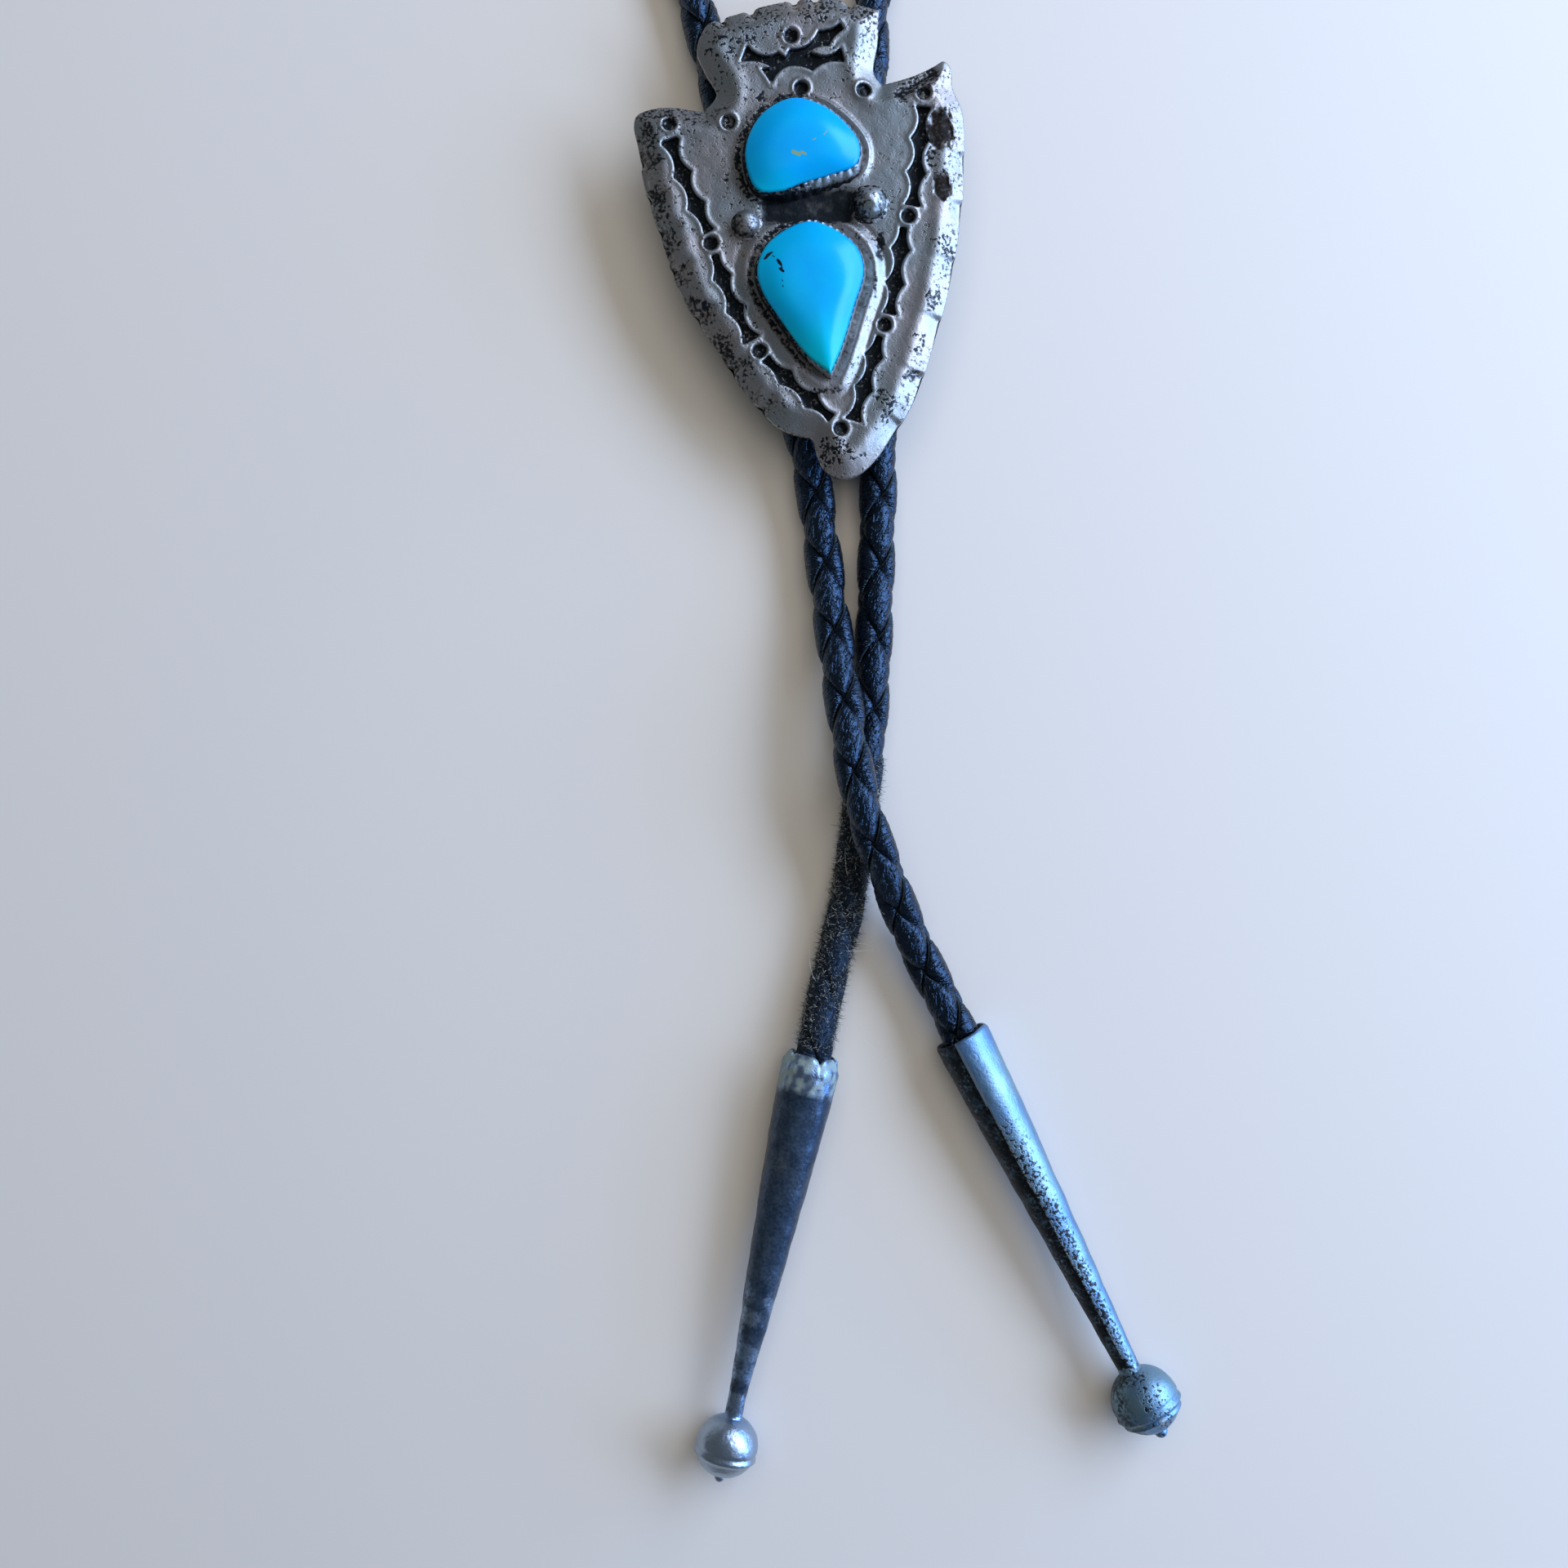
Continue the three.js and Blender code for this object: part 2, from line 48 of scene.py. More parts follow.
scene = bpy.context.scene
scene.view_settings.view_transform = "Standard"
bpy.ops.object.camera_add(location=[MM * x for x in VIEW_FROM], rotation=(0, 0, 0))
camera = bpy.context.object
camera.data.lens = LENS
camera.data.sensor_width = 36
camera.data.clip_start = 0.01
scene.camera = camera

# ---------------------------------------------------------------- the cord
# One round cord, braided from four flat strands of dyed black leather over a core. The neck loop
# and both free ends are the same cord: each end runs through the clip and into a silver tip.

# Middle line of each stretch, in millimetres: the same points as the solid pieces follow.
CORD_HEIGHT = 3.6
LYING = 2.52
CLIP_HALF = 7.0
LEFT_TUNNEL = ((-7.0, 7.0), (-3.6, -7.0))
RIGHT_TUNNEL = ((9.3, 7.0), (9.6, -7.0))
RIGHT_MOUTH = (20.6, -100.8, 3.65)
RIGHT_BALL = (44.1, -147.3, 4.34)
LEFT_MOUTH = (1.7, -103.1, 3.85)
LEFT_BALL = (-9.4, -153.3, 3.99)


def in_tunnel(tunnel, above):
    """A point inside a tunnel of the clip, so far above (+) or below (-) its middle."""
    (top_x, top_y), (bottom_x, bottom_y) = tunnel
    part = 0.5 - above / (2 * CLIP_HALF)
    return (top_x + (bottom_x - top_x) * part, top_y + (bottom_y - top_y) * part, CORD_HEIGHT)


def on_tip(mouth, ball, beyond):
    """A point on a tip's own line, so far beyond its mouth."""
    line = (Vector(ball) - Vector(mouth)).normalized()
    return tuple(Vector(mouth) + line * beyond)


NECK_ROUTE = [
    in_tunnel(LEFT_TUNNEL, 0.15),
    in_tunnel(LEFT_TUNNEL, CLIP_HALF),
    (-9.9, 18.2, 3.0), (-13.6, 32.6, 2.65), (-19.4, 51, LYING), (-30, 73, LYING), (-46, 95, LYING),
    (-64, 117, LYING), (-80, 141, LYING), (-90, 168, LYING), (-93, 197, LYING), (-87, 225, LYING),
    (-72, 250, LYING), (-50, 268, LYING), (-23, 279, LYING), (6, 280, LYING), (34, 271, LYING),
    (58, 254, LYING), (75, 230, LYING), (83, 202, LYING), (82, 173, LYING), (73, 145, LYING),
    (57, 119, LYING), (39, 95, LYING), (23, 72, LYING), (13, 51, LYING), (9.4, 32.6, 2.65),
    (9.1, 18.2, 3.0),
    in_tunnel(RIGHT_TUNNEL, CLIP_HALF),
    in_tunnel(RIGHT_TUNNEL, 0.15),
]
RIGHT_END_ROUTE = [
    in_tunnel(LEFT_TUNNEL, -0.15),
    in_tunnel(LEFT_TUNNEL, -CLIP_HALF),
    (-1.2, -17.2, 3.3), (1.5, -28.8, 2.8), (2.7, -37.0, 2.8), (3.7, -44.9, 3.5), (4.4, -50.0, 4.6),
    (5.0, -54.7, 5.7), (5.7, -59.5, 6.7), (6.4, -64.3, 7.5), (7.4, -69.4, 7.9), (8.7, -74.0, 7.8),
    (10.4, -78.6, 6.9), (12.2, -83.2, 5.4), (14.3, -88.2, 4.1), (16.9, -93.4, 3.5),
    (19.1, -97.8, 3.6),
    on_tip(RIGHT_MOUTH, RIGHT_BALL, 0),
    on_tip(RIGHT_MOUTH, RIGHT_BALL, 5.6),
]
LEFT_END_ROUTE = [
    in_tunnel(RIGHT_TUNNEL, -0.15),
    in_tunnel(RIGHT_TUNNEL, -CLIP_HALF),
    (9.9, -17.2, 3.1), (10.1, -28.7, 2.65), (9.9, -37.0, LYING), (9.7, -44.8, LYING),
    (9.3, -54.5, LYING), (8.6, -64.2, LYING), (7.7, -72.0, LYING), (6.9, -78.4, LYING),
    (5.9, -84.6, LYING), (4.4, -90.6, 2.6), (3.1, -96.2, 3.0), (2.3, -100.4, 3.6),
    on_tip(LEFT_MOUTH, LEFT_BALL, 0),
    on_tip(LEFT_MOUTH, LEFT_BALL, 5.6),
]

BRAID_LEAD = 18.3  # length in which a strand goes once round
BRAID_MIDDLE = 1.88  # radius half way between an upper and a lower strand
BRAID_LIFT = 0.6
STRAND_WIDTH = 4.55
CORE_RADIUS = 1.2
# Across a strand, from edge to edge and back underneath: place across, and height in millimetres.
STRAND_SECTION = [
    (-1.0, -0.55), (-0.97, -0.32), (-0.88, -0.15), (-0.62, -0.03), (-0.3, 0.02), (0.0, 0.02),
    (0.3, 0.02), (0.62, -0.03), (0.88, -0.15), (0.97, -0.32), (1.0, -0.55), (0.92, -0.85),
    (0.3, -0.8), (-0.3, -0.8), (-0.92, -0.85),
]


def smooth_line(points, spacing, closed=False):
    """Even points, and their lengths along it, on the smooth line through the given points."""
    given = np.array(points, dtype=float)
    if closed:
        given = np.vstack([given[-1], given, given[:2]])
    else:
        given = np.vstack([2 * given[0] - given[1], given, 2 * given[-1] - given[-2]])
    part = np.linspace(0, 1, 40, endpoint=False)[:, None]
    runs = []
    for a, b, c, d in zip(given[:-3], given[1:-2], given[2:-1], given[3:]):
        before = math.sqrt(np.linalg.norm(b - a))
        here = math.sqrt(np.linalg.norm(c - b))
        after = math.sqrt(np.linalg.norm(d - c))
        leave = ((b - a) / before - (c - a) / (before + here) + (c - b) / here) * here
        reach = ((c - b) / here - (d - b) / (here + after) + (d - c) / after) * here
        curve = b + leave * part
        curve = curve + (3 * c - 3 * b - 2 * leave - reach) * part**2
        curve = curve + (2 * b - 2 * c + leave + reach) * part**3
        runs.append(curve)
    line = np.vstack(runs + [given[-2][None]])
    along = np.concatenate([[0], np.cumsum(np.linalg.norm(np.diff(line, axis=0), axis=1))])
    even = np.linspace(0, along[-1], max(2, int(round(along[-1] / spacing)) + 1))
    return even, np.stack([np.interp(even, along, column) for column in line.T], axis=1)


def new_piece(name, places, faces, smooth=True):
    """A mesh piece from places in millimetres and faces."""
    mesh = bpy.data.meshes.new(name)
    mesh.from_pydata((np.asarray(places) * MM).tolist(), [], faces)
    mesh.update()
    mesh.polygons.foreach_set("use_smooth", [smooth] * len(mesh.polygons))
    made = bpy.data.objects.new(name, mesh)
    scene.collection.objects.link(made)
    return made


def tube_faces(rows, sides, first):
    """Faces of a tube of rows of points, closed at both ends."""
    faces = []
    for row in range(rows - 1):
        low = first + row * sides
        for i in range(sides):
            j = (i + 1) % sides
            faces.append((low + i, low + j, low + sides + j, low + sides + i))
    faces.append(tuple(first + i for i in reversed(range(sides))))
    faces.append(tuple(first + (rows - 1) * sides + i for i in range(sides)))
    return faces


def rough(places, size, seed):
    """Smooth noise from -1 to 1 at each place, with lumps of the given size in millimetres."""
    shift = Vector((17.3 * seed, 5.1 * seed, 9.7 * seed))
    return np.array([noise.noise(Vector(p) / size + shift) for p in places])


def braided(name, route, spacing, slide, roll=(0, 0), worn=None):
    """Four strands plaited round a core along a route. Slide moves the pattern along the cord, roll
    turns it about the cord at its start and at its end, and worn gives how far the leather is
    rubbed away, from 0 to 1, at a length and an angle."""
    along, line = smooth_line(route, 0.1)
    ahead = np.gradient(line, axis=0)
    ahead /= np.linalg.norm(ahead, axis=1)[:, None]
    up = np.array([0.0, 0.0, 1.0]) - ahead * ahead[:, 2:3]
    up /= np.linalg.norm(up, axis=1)[:, None]
    aside = np.cross(ahead, up)

    def around(length, angle, radius):
        """Places at so far along the cord, at an angle from its top, and at a radius."""
        place = [np.interp(length, along, line[:, i]) for i in range(3)]
        for i in range(3):
            lift = np.interp(length, along, up[:, i]) * np.cos(angle)
            side = np.interp(length, along, aside[:, i]) * np.sin(angle)
            place[i] = place[i] + radius * (lift + side)
        return np.stack(place, axis=-1)

    length = along[-1]
    steps = np.linspace(0, length, int(length / spacing) + 1)
    sides = len(STRAND_SECTION)
    across = np.array([row[0] for row in STRAND_SECTION]) * STRAND_WIDTH / 2
    height = np.array([row[1] for row in STRAND_SECTION])
    places = []
    faces = []
    marks = []
    for way, start in ((-1, 0), (-1, 1), (1, 0), (1, 1)):
        angle = way * 2 * math.pi * (steps + slide) / BRAID_LEAD + start * math.pi
        lean = way * BRAID_MIDDLE * 2 * math.pi / BRAID_LEAD
        slant = math.sqrt(1 + lean**2)
        at = np.clip(steps[:, None] - across[None] * lean / slant, 0, length)
        round_it = angle[:, None] + across[None] / (BRAID_MIDDLE * slant)
        # A strand is at its highest where it crosses over one of the strands that run the other way.
        crossing = round_it + way * 2 * math.pi * (at + slide) / BRAID_LEAD - start * math.pi
        over = -way * np.tanh(2.0 * np.cos(crossing)) / math.tanh(2.0)
        lift = BRAID_LIFT * over
        round_it = round_it + np.interp(at, (0.5 * length, length), roll)
        if worn:
            rubbed = worn(at, round_it)
            lift = lift * (1 - 0.55 * rubbed) + 0.12 * rubbed
        radius = BRAID_MIDDLE + lift + height[None]
        mesh_places = around(at, round_it, radius).reshape(-1, 3)
        if worn:
            outward = mesh_places - around(at, round_it, 0 * radius).reshape(-1, 3)
            outward /= np.linalg.norm(outward, axis=1)[:, None]
            lumps = 0.16 * rough(mesh_places, 0.9, 3) + 0.1 * rough(mesh_places, 0.35, 4)
            mesh_places = mesh_places + outward * (lumps * rubbed.reshape(-1))[:, None]
            marks.append(rubbed.reshape(-1))
        faces += tube_faces(len(steps), sides, sum(len(p) for p in places))
        places.append(mesh_places)
    core_steps = np.linspace(0, length, int(length) + 1)
    spokes = np.linspace(0, 2 * math.pi, 12, endpoint=False)
    core = around(core_steps[:, None] + 0 * spokes, 0 * core_steps[:, None] + spokes, CORE_RADIUS)
    faces += tube_faces(len(core_steps), 12, sum(len(p) for p in places))
    strand_points = sum(len(p) for p in places)
    places.append(core.reshape(-1, 3))
    made = new_piece(name, np.vstack(places), faces)

    # How far along the strand, and how far across it, for the grain.
    rows = len(steps)
    flat = made.data.uv_layers.new(name="strand")
    corner = np.zeros(len(made.data.loops), dtype=int)
    made.data.loops.foreach_get("vertex_index", corner)
    ring = corner % sides
    row = (corner // sides) % rows
    u = steps[row] / 10 + (corner // sides // rows) * 0.37
    v = (np.array([r[0] for r in STRAND_SECTION])[ring] + 1) / 2
    u = np.where(corner < strand_points, u, 0)
    v = np.where(corner < strand_points, v, 0.5)
    flat.data.foreach_set("uv", np.stack([u, v], axis=1).reshape(-1))
    rubbed_all = np.zeros(len(made.data.vertices))
    if worn:
        rubbed_all[:strand_points] = np.concatenate(marks)
    layer = made.data.attributes.new("rubbed", "FLOAT", "POINT")
    layer.data.foreach_set("value", rubbed_all)
    return made, line[::10] * MM, along[-1] * MM, around


def linear(hex_colour):
    """A colour written as sRGB hex, as the linear colour that a shader takes."""
    parts = [int(hex_colour[i : i + 2], 16) / 255 for i in (1, 3, 5)]
    straight = [c / 12.92 if c <= 0.04045 else ((c + 0.055) / 1.055) ** 2.4 for c in parts]
    return (*straight, 1.0)


def feed(tree, made, inputs):
    """Sets inputs of a node: to a value, or by a link from a socket or from a node's first output."""
    for key, value in inputs.items():
        if isinstance(value, bpy.types.Node):
            value = next(out for out in value.outputs if out.enabled)
        if isinstance(value, bpy.types.NodeSocket):
            tree.links.new(value, made.inputs[key])
        else:
            made.inputs[key].default_value = value


def node(tree, kind, inputs=None, stops=None, **settings):
    """Adds a node with its settings, its values and links, and the stops of a colour ramp."""
    made = tree.nodes.new("ShaderNode" + kind)
    for key, value in settings.items():
        setattr(made, key, value)
    feed(tree, made, inputs or {})
    if stops:
        ramp = made.color_ramp
        while len(ramp.elements) < len(stops):
            ramp.elements.new(0.5)
        for element, (place, colour) in zip(ramp.elements, stops):
            element.position = place
            element.color = linear(colour)
    return made


def blank_material(name):
    """A new material with only its shader and output."""
    made = bpy.data.materials.new(name)
    made.use_nodes = True
    tree = made.node_tree
    return made, tree, tree.nodes["Principled BSDF"]


# Braided cowhide lace, dyed through and waxed: black with a cool sheen, wrinkled by the pull of
# the braiding, and a little paler at its cut edges. Where it is rubbed it is grey and dull.
SHEEN = "#9ccbff"
WRINKLE_LONG = 1.1
WRINKLE_WIDE = 0.34
WRINKLE_TURN = -1.05  # from the run of the strand, in radians
PORE = 0.3
LEATHER_RELIEF = 0.2
CUT_EDGES = [
    (0.0, "#0b0e11"),
    (0.008, "#39464e"),
    (0.02, "#06080b"),
    (0.98, "#06080b"),
    (0.992, "#39464e"),
]
RUBBED_TONES = [(0.40, "#08090b"), (0.58, "#15181a"), (0.70, "#4c5352")]


def leather(name):
    made, tree, shader = blank_material(name)
    strand = node(tree, "UVMap", uv_map="strand")
    flat = {"Vector": strand, "Rotation": (0, 0, WRINKLE_TURN), "Scale": (10, STRAND_WIDTH, 1)}
    slanted = node(tree, "Mapping", flat)
    stretch = (1 / WRINKLE_LONG, 1 / WRINKLE_WIDE, 1)
    drawn_out = node(tree, "Mapping", {"Vector": slanted, "Scale": stretch})
    wrinkle = node(tree, "TexNoise", {"Vector": drawn_out, "Scale": 1.0, "Detail": 2.0})
    fold = {"Value": wrinkle, "From Min": 0.5, "From Max": 0.66}
    crease = node(tree, "MapRange", fold, interpolation_type="SMOOTHSTEP")
    place = node(tree, "TexCoord").outputs["Object"]
    pores = node(tree, "TexNoise", {"Vector": place, "Scale": 1 / (PORE * MM), "Detail": 2.0})
    rubbed = node(tree, "Attribute", attribute_name="rubbed").outputs["Fac"]
    across = node(tree, "SeparateXYZ", {"Vector": strand}).outputs["Y"]
    edge = node(tree, "ValToRGB", {"Fac": across}, CUT_EDGES)
    dull = node(tree, "ValToRGB", {"Fac": pores}, RUBBED_TONES)
    colour = node(tree, "Mix", {"Factor": rubbed, "A": edge, "B": dull}, data_type="RGBA")
    roughness = node(tree, "MapRange", {"Value": rubbed, "To Min": 0.29, "To Max": 0.85})
    grain = node(tree, "Math", {0: pores, 1: 0.6, 2: crease}, operation="MULTIPLY_ADD")
    bump = node(tree, "Bump", {"Height": grain, "Strength": 1.0, "Distance": LEATHER_RELIEF * MM})
    feed(tree, shader, {"Base Color": colour, "Roughness": roughness, "Normal": bump})
    feed(tree, shader, {"Specular Tint": linear(SHEEN), "Specular IOR Level": 0.75})
    return made


def join_frame(piece, material, solid=None):
    """Gives a piece its material, tells the frame what it rides on, and hides its solid."""
    piece.data.materials.append(material)
    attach(piece, "root")
    if solid:
        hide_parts(solid)


black_leather = leather("black_braided_cowhide")
rubbed_leather = leather("rubbed_braided_cowhide")

neck_loop, _, _, _ = braided("neck_loop", NECK_ROUTE, 0.62, slide=3.0)
join_frame(neck_loop, black_leather, "neck_cord")

right_end, right_path, right_length, _ = braided(
    "right_end", RIGHT_END_ROUTE, 0.3, slide=0.0, roll=(0, 0.5)
)
join_frame(right_end, black_leather, "cord_end_right")

WORN_FROM = 62.0  # length along the left end at which the leather starts to be rubbed


def left_end_wear(length, angle):
    """Wear of the left end: all round below the crossing, and less on the side by the other."""
    rising = np.clip((length - WORN_FROM) / 6, 0, 1)
    return rising * (0.72 + 0.28 * np.sin(angle))


left_end, left_path, left_length, left_around = braided(
    "left_end", LEFT_END_ROUTE, 0.3, slide=9.9, roll=(-0.28, -0.28), worn=left_end_wear
)
join_frame(left_end, rubbed_leather, "cord_end_left")

# Loose fibres of the worn end: a fuzz of short dark ones with some bleached pale, and a few long.
FIBRES = [
    {"name": "short", "count": 9000, "shortest": 0.2, "longest": 0.65, "thick": 0.07},
    {"name": "long", "count": 16, "shortest": 2.5, "longest": 5.0, "thick": 0.06},
]


def fuzz(name, around, low, high):
    """Thin three-sided fibres growing out of a cord between two lengths along it."""
    chance = np.random.default_rng(11)
    places = []
    faces = []
    pale = []
    for kind in FIBRES:
        for _ in range(kind["count"]):
            at = chance.uniform(low, high)
            angle = chance.uniform(-2.0, 2.0)
            root = around(np.array(at), np.array(angle), np.array(2.15))
            tip = around(np.array(at), np.array(angle), np.array(3.15))
            way = (tip - root) + chance.normal(0, 0.9, 3)
            way /= np.linalg.norm(way)
            length = chance.uniform(kind["shortest"], kind["longest"])
            bend = chance.normal(0, 0.55, 3)
            sideways = np.cross(way, (0.3, 0.5, 0.8))
            sideways /= np.linalg.norm(sideways)
            other = np.cross(way, sideways)
            brightness = chance.uniform() ** 1.5
            if kind["name"] == "long":
                brightness = 1.0
            joints = 3 if kind["name"] == "short" else 8
            first = len(places)
            for k in range(joints):
                part = k / (joints - 1)
                middle = root + length * (part * way + part**2 * bend)
                middle[2] = max(middle[2], 0.1)
                thick = kind["thick"] * (1 - 0.75 * part) / 2
                for corner in range(3):
                    spin = 2 * math.pi * corner / 3
                    places.append(middle + thick * (math.cos(spin) * sideways + math.sin(spin) * other))
                    pale.append(brightness)
            faces += tube_faces(joints, 3, first)
    made = new_piece(name, np.array(places), faces)
    layer = made.data.attributes.new("pale", "FLOAT", "POINT")
    layer.data.foreach_set("value", np.array(pale))
    return made


# Frayed leather fibre: dull, from near black to bleached grey.
FIBRE_TONES = [(0.0, "#0a0c0e"), (0.5, "#1c2124"), (0.75, "#9aa5a4"), (1.0, "#e2e4df")]


def fibre():
    made, tree, shader = blank_material("frayed_leather_fibre")
    pale = node(tree, "Attribute", attribute_name="pale").outputs["Fac"]
    colour = node(tree, "ValToRGB", {"Fac": pale}, FIBRE_TONES)
    feed(tree, shader, {"Base Color": colour, "Roughness": 0.6})
    return made


fibres = fuzz("worn_fibres", left_around, WORN_FROM + 3, left_length / MM - 6)
join_frame(fibres, fibre())


# ---------------------------------------------------------------- the silver tips
# Each tip is a cone rolled from sheet silver over the cord's end, lapped along one side, with a
# ball of two soldered half shells and a nub on its far end. Both are blackened and worn.

TIP_SIDES = 128
CONE_STEP = 0.4
SOCKET_DEPTH = 6.1
SHEET = 0.62  # from the outside of the mouth to the wall of the socket
RIGHT_TIP = {
    "cone": [(0.4, 3.62), (8, 3.4), (16, 3.0), (30, 2.3), (46, 1.45), (47.4, 1.42)],
    "ball": (52.1, 4.33),
    "rings": [(53.3, 0.34), (54.35, 0.3)],
    "nub": (56.6, 0.85),
}
LEFT_TIP = {
    "cone": [(0.4, 3.82), (8, 3.55), (16, 3.1), (30, 2.2), (44.5, 1.12), (47.4, 1.18)],
    "ball": (51.4, 3.98),
    "rings": [(52.6, 0.36)],
    "nub": (55.5, 0.7),
}


def select_only(piece=None):
    """Leaves one piece selected and active, or nothing at all."""
    bpy.ops.object.select_all(action="DESELECT")
    if piece:
        piece.select_set(True)
        bpy.context.view_layer.objects.active = piece


def places_of(piece):
    """The vertices of a piece, in millimetres."""
    flat = np.zeros(3 * len(piece.data.vertices))
    piece.data.vertices.foreach_get("co", flat)
    return flat.reshape(-1, 3) / MM


def move_to(piece, places):
    """Puts the vertices of a piece at new places, in millimetres."""
    piece.data.vertices.foreach_set("co", (places * MM).reshape(-1))
    piece.data.update()


def turned(name, profile, sides):
    """A profile, rows of radius and height, spun round the upright axis and closed at its poles."""
    select_only()
    bpy.ops.mesh.primitive_circle_add(vertices=len(profile), radius=MM)
    made = bpy.context.object
    made.name = name
    rows = np.array(profile, dtype=float)
    move_to(made, np.stack([rows[:, 0], 0 * rows[:, 0], rows[:, 1]], axis=1))
    ends = {0, len(profile) - 1}
    bpy.ops.object.mode_set(mode="EDIT")
    bpy.ops.mesh.select_mode(type="EDGE")
    bpy.ops.mesh.select_all(action="DESELECT")
    bpy.ops.object.mode_set(mode="OBJECT")
    for edge in made.data.edges:
        edge.select = set(edge.vertices) == ends
    bpy.ops.object.mode_set(mode="EDIT")
    bpy.ops.mesh.delete(type="EDGE")
    bpy.ops.mesh.select_mode(type="VERT")
    bpy.ops.mesh.select_all(action="SELECT")
    bpy.ops.mesh.spin(steps=sides, angle=2 * math.pi, center=(0, 0, 0), axis=(0, 0, 1))
    bpy.ops.mesh.select_all(action="SELECT")
    bpy.ops.mesh.remove_doubles(threshold=0.002 * MM)
    bpy.ops.mesh.normals_make_consistent(inside=False)
    bpy.ops.mesh.faces_shade_smooth()
    bpy.ops.object.mode_set(mode="OBJECT")
    return made


def tip_profile(form):
    """The tip from the bottom of its socket, out over the mouth and down to the nub."""
    cone_at = [row[0] for row in form["cone"]]
    cone_radius = [row[1] for row in form["cone"]]
    ball_at, ball_radius = form["ball"]
    nub_at, nub_radius = form["nub"]
    mouth = cone_radius[0]
    rows = [(0, SOCKET_DEPTH), (2.7, SOCKET_DEPTH), (2.9, 5.8)]
    rows += [(mouth - SHEET, at) for at in np.arange(5.4, 0.3, -CONE_STEP)]
    rows += [(mouth - 0.52, 0.1), (mouth - 0.3, 0.0), (mouth - 0.1, 0.12)]
    for at in np.arange(cone_at[0], cone_at[-1], CONE_STEP):
        rows.append((np.interp(at, cone_at, cone_radius), at))
    first = math.asin(cone_radius[-1] * 1.05 / ball_radius)
    last = math.pi - math.asin(0.9 * nub_radius / ball_radius)
    for angle in np.linspace(first, last, 64):
        at = ball_at - ball_radius * math.cos(angle)
        radius = ball_radius * math.sin(angle)
        for ring_at, width in form["rings"]:
            radius += 0.24 * math.exp(-(((at - ring_at) / width) ** 2))
            radius -= 0.10 * math.exp(-(((at - ring_at + 2.1 * width) / (0.6 * width)) ** 2))
        rows.append((radius, at))
    for angle in np.linspace(0, math.pi / 2, 9):
        rows.append((nub_radius * math.cos(angle), nub_at + nub_radius * math.sin(angle)))
    return rows


def smooth_step(value, low, high):
    """0 below low, 1 above high, and a smooth rise between."""
    part = np.clip((value - low) / (high - low), 0, 1)
    return part * part * (3 - 2 * part)


def bump_at(value, middle, width):
    """A smooth bump of height 1 round a middle value."""
    return np.exp(-(((value - middle) / width) ** 2))


def lay_tip(piece, mouth, ball):
    """Lays an upright tip on its own line, its right-hand side level and its top upwards."""
    line = (Vector(ball) - Vector(mouth)).normalized()
    level = line.cross(Vector((0, 0, -1))).normalized()
    upward = line.cross(level).normalized()
    turn = Matrix((level, upward, line)).transposed().to_4x4()
    turn.translation = Vector(mouth) * MM
    piece.data.transform(turn)
    spot = places_of(piece)
    spot[:, 2] = np.maximum(spot[:, 2], 0.02)
    move_to(piece, spot)


def set_finish(piece, black, speckle, crust, pale=0.0):
    """Writes how the silver is at each vertex: blackened, speckled, crusted and rubbed bright; on some
    pieces the black also holds painted shade and the pale holds painted highlights.
    """
    marks = np.zeros((len(piece.data.vertices), 4))
    for column, value in enumerate((black, speckle, crust, pale)):
        marks[:, column] = np.clip(value, 0, 1)
    layer = piece.data.attributes.new("finish", "FLOAT_COLOR", "POINT")
    layer.data.foreach_set("color", marks.reshape(-1))


def round_its_line(piece):
    """The vertices of an upright piece: place, height, angle and radius round its own line."""
    spot = places_of(piece)
    return spot, spot[:, 2], np.arctan2(spot[:, 1], spot[:, 0]), np.hypot(spot[:, 0], spot[:, 1])


def swell(spot, radius, grow):
    """Moves places outwards from the upright line, except those that stand on it."""
    scale = np.where(radius > 0.01, (radius + grow) / np.maximum(radius, 0.01), 1)
    spot[:, :2] *= scale[:, None]


# Sterling silver, blackened with sulphur and then worn: dull grey where hands have rubbed it,
# blue-black in its hollows, freckled where the black is breaking up, and crusted in its pits.
FRECKLE = 0.42
TARNISH_CLOUD = 1.7
TONE_CLOUD = 8
# Rubbed-bright silver, also laid on as painted highlights where a piece's pale mark holds them.
RUBBED_BRIGHT_AND_HIGHLIGHT = "#c9d0d1"
SILVER_RELIEF = 0.12


